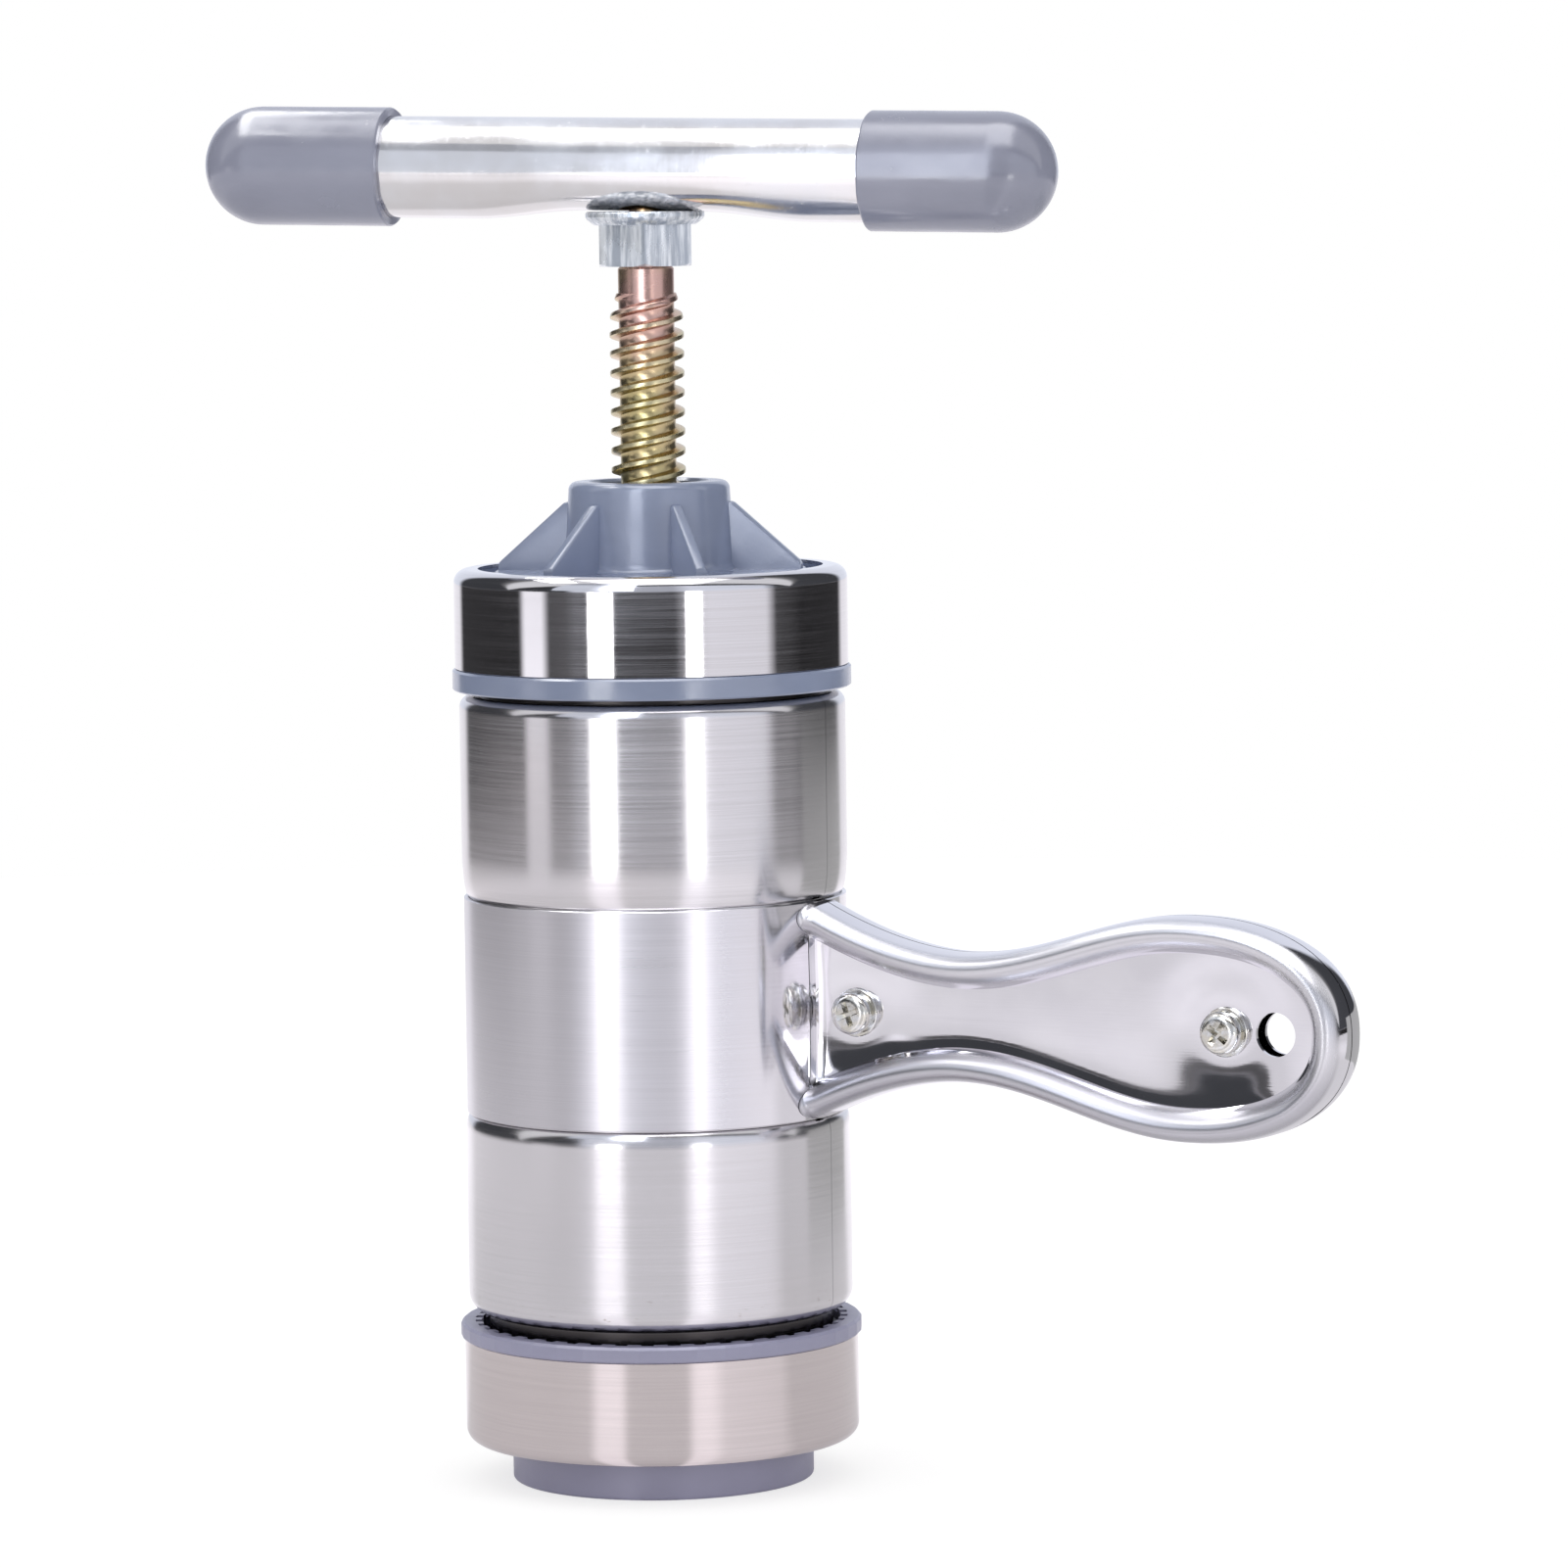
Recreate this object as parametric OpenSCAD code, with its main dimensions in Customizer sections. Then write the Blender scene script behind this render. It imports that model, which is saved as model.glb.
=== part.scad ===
// Hand screw press for pasta: a T-bar drives a two-start screw through a nut in the top cap,
// and the screw pushes a plate down a steel barrel, through a die held by the bottom cap.
// Millimetres. +Z is up, the origin is the centre of the die's lower face, the side grip points to +X.

/* [Barrel] */
// Radius of the barrel's bore
bore_r = 31.4; // [28:0.1:36]
// Wall of the inner tube
tube_wall = 1; // [0.8:0.1:1.6]
// Space between the inner tube and the jacket
jacket_space = 3.15; // [2.6:0.05:4]
// Height of the jacket
jacket_h = 113.6; // [95:0.1:135]
// Thickness of the jacket's and the cap shells' sheet
sheet = 0.6; // [0.4:0.05:0.9]
// Depth of the jacket's waist, in which the band sits
waist_depth = 1.15; // [0.9:0.05:1.5]
// Corner radius at the jacket's lower end
jacket_low_round = 3.6; // [2:0.1:3.7]
// Corner radius at the jacket's upper end
jacket_top_round = 3; // [2:0.1:3.7]
// Edge radius at the waist
waist_round = 1; // [0.5:0.05:1.1]

/* [Caps] */
// Height of each cap's steel shell
shell_h = 18.6; // [16:0.1:23]
// Corner radius of each shell
shell_round = 2.6; // [1.5:0.1:4]
// Wall of the bottom cap under its shell
cap_wall = 2.4; // [2:0.1:4]
// Wall of the top cap under its shell
top_cap_wall = 2.15; // [2:0.05:4]
// Height of the plastic ring at each cap's open end
flange_h = 4; // [3:0.1:6]
// How far the lower ring stands out from its shell
flange_lip = 0.7; // [0.3:0.1:1.5]
// How far the upper ring stands out from its shell
top_flange_lip = 0.5; // [0.3:0.1:1.5]
// Gap between the lower ring and the jacket
low_gap = 3.2; // [2:0.1:5]
// Gap between the upper ring and the jacket
top_gap = 2.3; // [1.5:0.1:4]
// Pitch of the threads that hold the caps
cap_pitch = 3.5; // [3:0.1:4.4]
// Height of those threads
cap_thread_h = 1.1; // [0.8:0.05:1.4]
// Thickness of the top cap's ceiling
ceiling_t = 4.4; // [3:0.1:6]
// Thickness of the liner ring under the ceiling
liner_t = 1.4; // [0.8:0.1:2]
// Width of the top shell's face, from its side to the hole in it
shell_face_w = 4.55; // [3.4:0.05:5.8]
// Width of the groove between the top shell and the disc that carries the ribs
groove_w = 2.9; // [2.3:0.1:5]

/* [Boss] */
// Outer radius of the boss at its top
boss_r = 15.1; // [14:0.1:18]
// Height of the boss above the disc
boss_h = 16.6; // [13:0.1:22]
// Draft of the boss, added to its radius at the foot
boss_draft = 0.8; // [0.3:0.1:1.5]
// Edge radius of the boss
boss_round = 1.6; // [0.8:0.1:2.2]
// Radius of the opening in the boss
boss_mouth_r = 10.8; // [8:0.1:11.2]
// Thickness of the lip over the nut
boss_lip = 3.4; // [2:0.1:5]
// Number of ribs
rib_count = 6; // [3:1:9]
// Thickness of a rib
rib_t = 2.6; // [1.6:0.1:3.5]
// Turn of the first rib from the grip
rib_turn = 20; // [0:1:59]
// Drop from the boss's top to a rib's upper end
rib_top_drop = 3.9; // [2:0.1:6]
// Height of a rib at the disc's edge
rib_foot_h = 1.4; // [0.8:0.1:3]

/* [Die] */
// How far the die stands below the bottom shell
die_stand = 7.5; // [5:0.1:10]
// Radius of the die's face
die_r = 28.4; // [24:0.1:28.6]
// Thickness of the die's flange
die_flange_t = 3.5; // [2.5:0.1:5]
// Thickness of the perforated face
die_floor_t = 3.5; // [2.5:0.1:5]
// Wall of the die's cup
die_wall = 3.5; // [2.5:0.1:5]
// Radius of a pasta hole
die_hole_r = 1.6; // [1:0.1:2]
// Spacing of the pasta holes
die_hole_pitch = 6.4; // [5.5:0.1:6.8]
// Rings of pasta holes round the middle one
die_rings = 3; // [1:1:3]
// Thickness of the ledge under the die
ledge_t = 2.8; // [2:0.1:4]

/* [Screw] */
// Crest radius of the press screw
screw_r = 6.95; // [6:0.05:8.3]
// Root radius of the press screw
screw_root_r = 5.2; // [4.8:0.05:5.8]
// Travel in one turn of the two-start thread
lead = 7.2; // [6.2:0.1:8.6]
// Width of a thread ridge at its root
ridge_root_w = 1.7; // [1.4:0.05:2]
// Width of a thread ridge at its crest
ridge_crest_w = 0.9; // [0.7:0.05:1.2]
// Length of screw in sight above the boss
screw_out = 40; // [30:0.5:60]
// Length of plain shank under the flange nut
shank_len = 5; // [3:0.1:8]
// Width across the flats of the drive nut
drive_nut_af = 21; // [19:0.1:22.5]

/* [Plate] */
// Height of the press plate's rim
plate_h = 8; // [6:0.1:12]
// Thickness of the plate's floor
plate_floor_t = 3.5; // [2.5:0.1:4.5]
// Wall of the plate's rim
plate_wall = 2.5; // [2:0.1:4]
// Radius of the plate's hub
hub_r = 9.5; // [8.6:0.1:11.5]
// Height of the hub from the plate's lower face
hub_h = 10.5; // [8.8:0.1:13]
// Radius of the recess for the plate's screw
recess_r = 7.6; // [7.2:0.1:8.2]
// Depth of that recess
recess_d = 4.6; // [4.2:0.1:5.4]
// Radius of the screw's lower journal
journal_r = 4; // [3.4:0.1:4.6]

/* [T-bar] */
// Outer radius of the bar's tube
bar_r = 9.5; // [8.5:0.1:12]
// Wall of the bar's tube
bar_wall = 1.2; // [0.8:0.1:1.6]
// Length of the bar's tube
bar_len = 143; // [110:1:180]
// Shift of the tube along itself, off the screw
bar_shift = -3.6; // [-8:0.1:0]
// Turn of the bar from the grip, seen from above
bar_turn = 14; // [0:1:180]
// Lean of the bar from square with the screw
bar_lean = 1.2; // [0:0.1:1.5]
// Depth of the dent over the flange nut
dent_depth = 1.7; // [1.2:0.1:2.2]
// Half the length of the dent
dent_half = 30; // [20:1:40]
// Wall of the soft bar caps
bar_cap_wall = 1.6; // [1:0.1:2.5]
// Length of the left bar cap
left_cap_len = 37.5; // [25:0.1:45]
// Length of the right bar cap
right_cap_len = 35.4; // [25:0.1:45]
// Width across the flats of the flange nut
nut_af = 17; // [15.5:0.1:20]
// Height of the flange nut's hexagon
nut_hex_h = 7.5; // [5:0.1:9]
// Radius of the flange nut's flange
nut_flange_r = 11.1; // [10.8:0.1:13.5]
// Thickness of that flange
nut_flange_t = 2.7; // [1.8:0.1:3.5]

/* [Grip] */
// Height of the band round the barrel
band_h = 40.6; // [34:0.1:46]
// Thickness of the grip's sheet
band_wall = 0.8; // [0.6:0.05:1]
// Distance from the barrel's axis to the tip of the grip
grip_reach = 144.4; // [142:0.1:165]
// Distance from the axis to the neck of the grip
neck_at = 66.9; // [60:0.1:75]
// Half the width of the neck
neck_half = 12; // [10.5:0.1:14]
// Distance from the axis to the widest place of the paddle
paddle_at = 113; // [102:0.1:120]
// Half the width of the paddle
paddle_half = 20.6; // [17:0.1:24]
// Height of the rim's crest from the grip's middle plane
crest_h = 6.8; // [6:0.1:9]
// Height of the flat panel from the middle plane
panel_h = 2.3; // [2:0.1:3.3]
// Width of the rim, from the edge to the panel
rim_w = 6.6; // [5.6:0.1:8]
// Gap between the two halves at the rim
seam_gap = 0.3; // [0.2:0.05:0.5]
// Distance from the axis to the inner grip screw
screw_near_at = 44.5; // [42:0.1:48]
// Distance from the axis to the outer grip screw
screw_far_at = 120.5; // [108:0.1:122]
// Distance from the axis to the hanging hole
hang_at = 130.5; // [129:0.1:133]
// Radius of the hanging hole
hang_r = 4; // [3:0.1:4.4]
// Radius of the grip screws' thread
grip_screw_r = 2; // [1.5:0.1:2.4]

/* [Hidden] */
$fn = 96;

// Fits, the overrun of cuts, the length of thread past a nut, and counts of steps
seat = 0.05;
slip = 0.1;
plain_play = 0.05;
shell_fit = 0.2;
bore_fit = 0.2;
over = 1;
thread_end = 1;
quarter = 90;
turn = 360;
hex = 6;
arc_steps = 6;

// Radii of the barrel and the caps
tube_r = bore_r + tube_wall;
jacket_r = tube_r + jacket_space + sheet;
waist_r = jacket_r - waist_depth;
thread_tip_play = 0.3;
thread_root_play = 0.4;
neck_crest_r = tube_r + cap_thread_h;
cap_bore_r = neck_crest_r + thread_root_play;
cap_ridge_r = tube_r + thread_tip_play;
cap_r = cap_bore_r + cap_wall;
top_cap_r = cap_bore_r + top_cap_wall;
shell_r = cap_r + shell_fit + sheet;
flange_r = shell_r + flange_lip;
top_shell_r = top_cap_r + shell_fit + sheet;
top_flange_r = top_shell_r + top_flange_lip;
shell_mouth_r = top_shell_r - shell_face_w;
disc_r = shell_mouth_r - groove_w;

// Heights, from the die's face up
bottom_cap_z = die_stand + sheet + seat;
ledge_z = bottom_cap_z + ledge_t;
die_top_z = ledge_z + seat + die_flange_t;
tube_z = die_top_z + seat;
low_flange_z = die_stand + shell_h + seat;
jacket_z = low_flange_z + flange_h + low_gap;
jacket_top_z = jacket_z + jacket_h;
band_mid_z = jacket_z + jacket_h / 2;
band_low_z = band_mid_z - band_h / 2;
waist_low_z = band_low_z - bore_fit;
waist_top_z = band_low_z + band_h + bore_fit;
top_flange_z = jacket_top_z + top_gap;
top_shell_z = top_flange_z + flange_h + seat;
lip_rise = sheet;
disc_z = top_shell_z + shell_h - lip_rise;
ceiling_z = disc_z - ceiling_t;
liner_z = ceiling_z - seat - liner_t;
tube_top_z = liner_z - seat;
boss_top_z = disc_z + boss_h;
nut_z = boss_top_z + screw_out;
nut_top_z = nut_z + nut_hex_h + nut_flange_t;
bar_z = nut_top_z + seat - dent_depth + bar_r;
plate_low_gap = 1.5;
stop_gap = 0.5;
plate_z = die_top_z + plate_low_gap + screw_out - stop_gap;
hub_top_z = plate_z + hub_h;

// Cap threads, and how a ridge fades
cap_ridge_root_w = 1.4;
cap_ridge_tip_w = 0.7;
cap_ridge_sink = 0.2;
cap_segments = 36;
cap_steps = 90;
fade_steps = 5;
fade_floor_share = 0.02;
neck_thread_z = tube_z + cap_pitch;
top_thread_z = tube_top_z - cap_pitch * (cap_steps / cap_segments + 1);

// Lower cap: facets of its ring and notches in the ring's upper edge; how the die sits in it
facet_count = 44;
notch_w = 2.4;
notch_len = 1.2;
notch_d = 0.8;
die_play = 0.3;
mouth_play = 0.9;

// Top cap: groove round the disc, fillet of the boss, foot of the nut, reach of the liner
groove_d = ceiling_t / 2;
boss_foot_r = boss_r + boss_draft;
boss_fillet = 1.4;
nut_foot_lip = 1;
nut_foot_r = drive_nut_af / sqrt(3) + nut_foot_lip;
nut_foot_t = 2.4;
liner_reach = 3;

// Press screw and the ridges of its nut
starts = 2;
pitch = lead / starts;
screw_segments = 16;
thread_play = 0.25;
thread_side_play = 0.3;
thread_fade = lead;
shank_r = screw_root_r + seat;
stud_r = 4.9;
tip_stud_r = 3;
screw_phase_z = 2.1;
thread_top_z = nut_z - shank_len;
screw_low_z = screw_phase_z + pitch * (floor((hub_top_z - screw_phase_z) / pitch) - starts - 1 / 2);
screw_turns = ceil((thread_top_z - screw_low_z) / lead) + 1;
drive_nut_top_z = boss_top_z - boss_lip - slip;
nut_ridge_sink = 0.3;
nut_ridge_root_w = pitch - ridge_crest_w - 2 * thread_side_play;
nut_ridge_tip_w = pitch - ridge_root_w - 2 * thread_side_play;
nut_ridge_z = ceiling_z + nut_ridge_root_w / 2;
nut_ridge_turn = turn * (nut_ridge_z - screw_phase_z - pitch / 2) / lead;

// Plate, the washer and screw that hold it on the journal
plate_r = bore_r - bore_fit;
plate_ribs = 6;
plate_rib_t = 2;
plate_rib_drop = 1;
journal_z = plate_z + recess_d - slip;
washer_t = 1.2;
washer_play = 0.4;
plate_head_r = 5.2;
plate_head_h = 2.6;
plate_head_z = journal_z - washer_t - plate_head_h;
plate_screw_len = 12;
plate_key_af = 4;
plate_key_d = 1.5;

// Bar, its caps and the nut inside it
bar_left_at = bar_shift - bar_len / 2;
bar_right_at = bar_shift + bar_len / 2;
bar_cap_r = bar_r + seat + bar_cap_wall;
dent_slope = 1.5 * dent_depth;
inner_nut_af = 9.8;
inner_nut_h = 5;
inner_nut_z = nut_top_z + bar_wall + 2 * seat;

// Grip
band_r_in = waist_r + slip;
band_r_out = band_r_in + band_wall;
grip_root_at = band_r_in - 2 * band_wall;
grip_start_at = band_r_out + band_wall;
edge_steps = 12;
tip_steps = 7;
root_power = 1.8;
tip_power = 2.25;
rim_shares = [[0, 0], [0, 0.36], [0.06, 0.68], [0.2, 0.92], [0.42, 1], [0.64, 0.86], [0.82, 0.5], [1, 0]];
rim_last = len(rim_shares) - 1;
crest_index = 4;
seam_half = panel_h - band_wall;

// Grip screws, their washers and nuts
grip_screws_at = [screw_near_at, screw_far_at];
flat_washer_r = 4.5;
flat_washer_t = 0.7;
spring_washer_r = 3.7;
spring_washer_t = 0.9;
spring_washer_gap = 0.6;
grip_head_r = 3.9;
grip_head_h = 2.2;
grip_head_y = -panel_h - flat_washer_t - spring_washer_t;
grip_cross_w = 1;
grip_cross_d = 1.1;
grip_cross_len = 4.6;
grip_nut_y = panel_h;
grip_nut_h = 3.2;
grip_nut_af = 7;

// Shared shapes

// Points of an arc about (cx, cz), from one angle to another
function arc(cx, cz, r, from, to) = [
    for (i = [0 : arc_steps])
        let (a = from + (to - from) * i / arc_steps)
        [cx + r * cos(a), cz + r * sin(a)]
];

function reversed(list) = [for (i = [len(list) - 1 : -1 : 0]) list[i]];

// A ring round the axis, from z upwards
module ring(r_out, r_in, h, z) {
    translate([0, 0, z])
        difference() {
            cylinder(h = h, r = r_out);
            translate([0, 0, -over])
                cylinder(h = h + 2 * over, r = r_in);
        }
}

// A round bar on the axis, from z upwards
module rod(r, h, z) {
    translate([0, 0, z])
        cylinder(h = h, r = r);
}

// A hexagon on the axis, by its width across the flats
module hexagon(across, h, z) {
    translate([0, 0, z])
        cylinder(h = h, r = across / sqrt(3), $fn = hex);
}

// How far a ridge has risen at a step: it fades in at one end and out at the other
function fade_share(i, last) = max(fade_floor_share, min(1, i / fade_steps, (last - i) / fade_steps));

// One turn after another of a helical ridge, standing out of a shaft or into a bore
module ridge(root_r, tip_r, root_w, tip_w, rise, steps, segments) {
    side = sign(tip_r - root_r);
    points = [
        for (i = [0 : steps])
            let (
                a = turn * i / segments,
                z = rise * i / segments,
                r = root_r + (tip_r - root_r) * fade_share(i, steps)
            )
            for (p = [[root_r, -root_w], [r, -tip_w], [r, tip_w], [root_r, root_w]])
                [p[0] * cos(a), p[0] * sin(a), z + side * p[1] / 2]
    ];
    sides = [
        for (i = [0 : steps - 1])
            for (k = [0 : 3])
                let (a = 4 * i + k, b = 4 * i + (k + 1) % 4)
                each [[a, b, b + 4], [a, b + 4, a + 4]]
    ];
    last = 4 * steps;
    polyhedron(points = points, faces = concat([[3, 2, 1, 0]], sides, [[last, last + 1, last + 2, last + 3]]));
}

// The two pitches of the press screw's profile: radius share of the ridge, and height
function screw_profile() = [
    for (j = [0 : starts - 1])
        for (p = [[0, -ridge_root_w], [1, -ridge_crest_w], [1, ridge_crest_w], [0, ridge_root_w]])
            [p[0], (j + 1 / 2) * pitch + p[1] / 2]
];

// The ridges run out below the plain shank
function run_out_share(z) = max(fade_floor_share, min(1, (thread_top_z - z) / thread_fade));

// The threaded length as one closed surface, with a stepped end that is cut off flat
module screw_thread(z_low, turns) {
    n = screw_segments;
    m = turns * n;
    profile = screw_profile();
    size = len(profile);
    last = size - 1;
    points = [
        for (i = [0 : m])
            for (p = profile)
                let (
                    a = turn * i / n,
                    z = z_low + lead * i / n + p[1],
                    r = screw_root_r + p[0] * (screw_r - screw_root_r) * run_out_share(z)
                )
                [r * cos(a), r * sin(a), z]
    ];
    low_tip = len(points);
    top_tip = low_tip + 1;
    tips = [[0, 0, z_low], [0, 0, z_low + lead * turns + profile[last][1]]];
    skin = [
        for (i = [0 : m - 1])
            for (k = [0 : last - 1])
                let (a = size * i + k)
                each [[a, a + 1, a + size + 1], [a, a + size + 1, a + size]]
    ];
    seam = [
        for (i = [0 : m - n - 1])
            let (a = size * i + last, b = size * (i + n))
            each [[a, b, b + size], [a, b + size, a + size]]
    ];
    low_fan = [for (i = [0 : n - 1]) [low_tip, size * i, size * (i + 1)]];
    top_fan = [for (i = [m - n : m - 1]) [top_tip, size * (i + 1) + last, size * i + last]];
    low_step = concat(
        [[low_tip, size * n, last]],
        [for (j = [1 : starts - 1]) [low_tip, 4 * j, 4 * j - 1]],
        [for (j = [0 : starts - 1]) each [[low_tip, 4 * j + 3, 4 * j], [4 * j + 3, 4 * j + 2, 4 * j + 1, 4 * j]]]
    );
    e = size * m;
    top_step = concat(
        [[top_tip, size * (m - n) + last, e]],
        [for (j = [1 : starts - 1]) [top_tip, e + 4 * j - 1, e + 4 * j]],
        [for (j = [0 : starts - 1]) each [
            [top_tip, e + 4 * j, e + 4 * j + 3],
            [e + 4 * j, e + 4 * j + 1, e + 4 * j + 2, e + 4 * j + 3]
        ]]
    );
    polyhedron(
        points = concat(points, tips),
        faces = concat(skin, seam, low_fan, top_fan, low_step, top_step)
    );
}

// A thread on the barrel's neck, or in a cap's bore, from z upwards
module neck_thread(z) {
    translate([0, 0, z])
        ridge(tube_r - cap_ridge_sink, neck_crest_r, cap_ridge_root_w, cap_ridge_tip_w,
            cap_pitch, cap_steps, cap_segments);
}

module cap_thread(z) {
    translate([0, 0, z + cap_pitch / 2])
        ridge(cap_bore_r + cap_ridge_sink, cap_ridge_r, cap_ridge_root_w, cap_ridge_tip_w,
            cap_pitch, cap_steps, cap_segments);
}

// A cap's steel shell: a cup with a round corner and a hole in its face, mouth upwards from z
module shell_cup(r, hole_r, z) {
    outer = concat([[hole_r, 0]], arc(r - shell_round, shell_round, shell_round, -quarter, 0), [[r, shell_h]]);
    inner = concat(
        [[hole_r, sheet]],
        arc(r - shell_round, shell_round, shell_round - sheet, -quarter, 0),
        [[r - sheet, shell_h]]
    );
    translate([0, 0, z])
        rotate_extrude()
            polygon(concat(outer, reversed(inner)));
}

// The plastic body that fills a shell, with the same round corner, from its face at z upwards
module cap_blank(r, h, z) {
    translate([0, 0, z])
        rotate_extrude()
            polygon(concat([[0, 0]], arc(r - shell_round, shell_round, shell_round, -quarter, 0), [[r, h], [0, h]]));
}

// The barrel

module inner_tube() {
    color("silver") {
        ring(tube_r, bore_r, tube_top_z - tube_z, tube_z);
        neck_thread(neck_thread_z);
        neck_thread(top_thread_z);
    }
}

// The jacket's outline from its lower seam to its upper one, set in from its outer face
function jacket_outline(inset) = concat(
    [[tube_r + seat, jacket_z + inset]],
    arc(jacket_r - jacket_low_round, jacket_z + jacket_low_round, jacket_low_round - inset, -quarter, 0),
    arc(jacket_r - waist_round, waist_low_z - waist_round, waist_round - inset, 0, quarter),
    [[waist_r - inset, waist_low_z - inset], [waist_r - inset, waist_top_z + inset]],
    arc(jacket_r - waist_round, waist_top_z + waist_round, waist_round - inset, -quarter, 0),
    arc(jacket_r - jacket_top_round, jacket_top_z - jacket_top_round, jacket_top_round - inset, 0, quarter),
    [[tube_r + seat, jacket_top_z - inset]]
);

module jacket() {
    color("lightgray")
        rotate_extrude()
            polygon(concat(jacket_outline(0), reversed(jacket_outline(sheet))));
}

// The side grip

// Half the grip's width at a distance from the barrel's axis
function half_width(s) =
    s <= grip_start_at ? band_h / 2 :
    s <= neck_at ?
        neck_half + (band_h / 2 - neck_half) * pow((neck_at - s) / (neck_at - grip_start_at), root_power) :
        (paddle_half + neck_half) / 2
            - (paddle_half - neck_half) / 2 * cos(turn / 2 * (s - neck_at) / (paddle_at - neck_at));

// The upper half of the outline: along the edge to the paddle, and round the tip
grip_edge = concat(
    [[grip_root_at, band_h / 2]],
    [for (i = [0 : edge_steps])
        let (s = grip_start_at + (paddle_at - grip_start_at) * i / edge_steps)
        [s, half_width(s)]],
    [for (i = [1 : tip_steps]) let (a = quarter * i / tip_steps)
        [
            paddle_at + (grip_reach - paddle_at) * pow(sin(a), 2 / tip_power),
            paddle_half * pow(max(0, cos(a)), 2 / tip_power)
        ]]
);
edge_last = len(grip_edge) - 1;
grip_outline = concat(grip_edge, [for (i = [edge_last - 1 : -1 : 0]) [grip_edge[i][0], -grip_edge[i][1]]]);
outline_last = len(grip_outline) - 1;

// Unit vector into the grip, square with its outline
function inward(j) =
    let (
        before = grip_outline[max(0, j - 1)],
        after = grip_outline[min(outline_last, j + 1)],
        ends = j == 0 || j == outline_last,
        step = after - before,
        v = ends ? [0, -sign(grip_outline[j][1])] : [step[1], -step[0]]
    )
    v / norm(v);

// A rim point: distance in from the edge and height over the middle plane, on the outer or inner face
function rim_point(k, wall) =
    let (
        share = rim_shares[k],
        base = k <= crest_index ? seam_gap / 2 : panel_h - wall
    )
    [wall + share[0] * (rim_w - wall), base + share[1] * (crest_h - wall - base)];

function skin_points(wall) = [
    for (j = [0 : outline_last])
        let (n = inward(j))
        for (k = [0 : rim_last])
            let (p = rim_point(k, wall), at = grip_outline[j] + n * p[0])
            [at[0], -p[1], at[1]]
];

// One pressed half of the grip, on the -Y side of the middle plane
module grip_half() {
    rows = rim_last + 1;
    skin_size = rows * (outline_last + 1);
    points = concat(skin_points(0), skin_points(band_wall));
    rim = [
        for (j = [0 : outline_last - 1])
            for (k = [0 : rim_last - 1])
                let (a = rows * j + k)
                each [
                    [a, a + rows, a + rows + 1],
                    [a, a + rows + 1, a + 1],
                    [a + skin_size, a + skin_size + rows + 1, a + skin_size + rows],
                    [a + skin_size, a + skin_size + 1, a + skin_size + rows + 1]
                ]
    ];
    panel = [
        for (j = [0 : edge_last - 1])
            let (
                a = rows * j + rim_last,
                b = a + rows,
                c = rows * (outline_last - j - 1) + rim_last,
                d = rows * (outline_last - j) + rim_last,
                outer = b == c ? [a, b, d] : [a, b, c, d]
            )
            each [outer, reversed([for (p = outer) p + skin_size])]
    ];
    lip = [
        for (j = [0 : outline_last - 1])
            let (a = rows * j, b = rows * (j + 1))
            each [[a, a + skin_size, b + skin_size], [a, b + skin_size, b]]
    ];
    end_row = rows * outline_last;
    root = concat(
        [for (k = [0 : rim_last - 1]) [k, k + 1, k + 1 + skin_size, k + skin_size]],
        [for (k = [0 : rim_last - 1])
            [end_row + k + 1, end_row + k, end_row + k + skin_size, end_row + k + 1 + skin_size]],
        [[rim_last, end_row + rim_last, end_row + rim_last + skin_size, rim_last + skin_size]]
    );
    translate([0, 0, band_mid_z])
        polyhedron(points = points, faces = concat(rim, panel, lip, root));
}

// A bar across the grip, along Y at a distance from the barrel's axis
module across_grip(at, r, y_low, y_top) {
    translate([at, y_top, band_mid_z])
        rotate([quarter, 0, 0])
            cylinder(h = y_top - y_low, r = r);
}

// The strip round the barrel, open between the two halves of the grip
module grip_band() {
    color("gainsboro")
        difference() {
            ring(band_r_out, band_r_in, band_h, band_low_z);
            translate([0, -seam_half, band_low_z - over])
                cube([band_r_out + over, 2 * seam_half, band_h + 2 * over]);
        }
}

// The strip's two pressed ends, which the screws hold together
module grip_halves() {
    color("gainsboro")
        difference() {
            union() {
                grip_half();
                mirror([0, 1, 0])
                    grip_half();
            }
            rod(band_r_out + seat, band_h + 2 * over, band_low_z - over);
            for (at = grip_screws_at)
                across_grip(at, grip_screw_r + slip, -crest_h, crest_h);
            across_grip(hang_at, hang_r, -crest_h, crest_h);
        }
}

module grip_screws() {
    color("whitesmoke")
        for (at = grip_screws_at)
            difference() {
                union() {
                    across_grip(at, grip_screw_r, grip_head_y - grip_head_h / 2, grip_nut_y + grip_nut_h + thread_end);
                    across_grip(at, grip_head_r, grip_head_y - grip_head_h, grip_head_y);
                }
                for (a = [0, quarter])
                    translate([at, grip_head_y - grip_head_h, band_mid_z])
                        rotate([0, a, 0])
                            cube([grip_cross_w, 2 * grip_cross_d, grip_cross_len], center = true);
            }
}

module grip_spring_washers() {
    color("whitesmoke")
        for (at = grip_screws_at)
            difference() {
                across_grip(at, spring_washer_r, grip_head_y, grip_head_y + spring_washer_t);
                across_grip(at, grip_screw_r + slip, grip_head_y - over, grip_head_y + spring_washer_t + over);
                translate([at, grip_head_y - over, band_mid_z])
                    cube([spring_washer_gap, spring_washer_t + 2 * over, spring_washer_r + over]);
            }
}

module grip_flat_washers() {
    color("whitesmoke")
        for (at = grip_screws_at)
            difference() {
                across_grip(at, flat_washer_r, -panel_h - flat_washer_t, -panel_h);
                across_grip(at, grip_screw_r + slip, -panel_h - flat_washer_t - over, -panel_h + over);
            }
}

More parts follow.
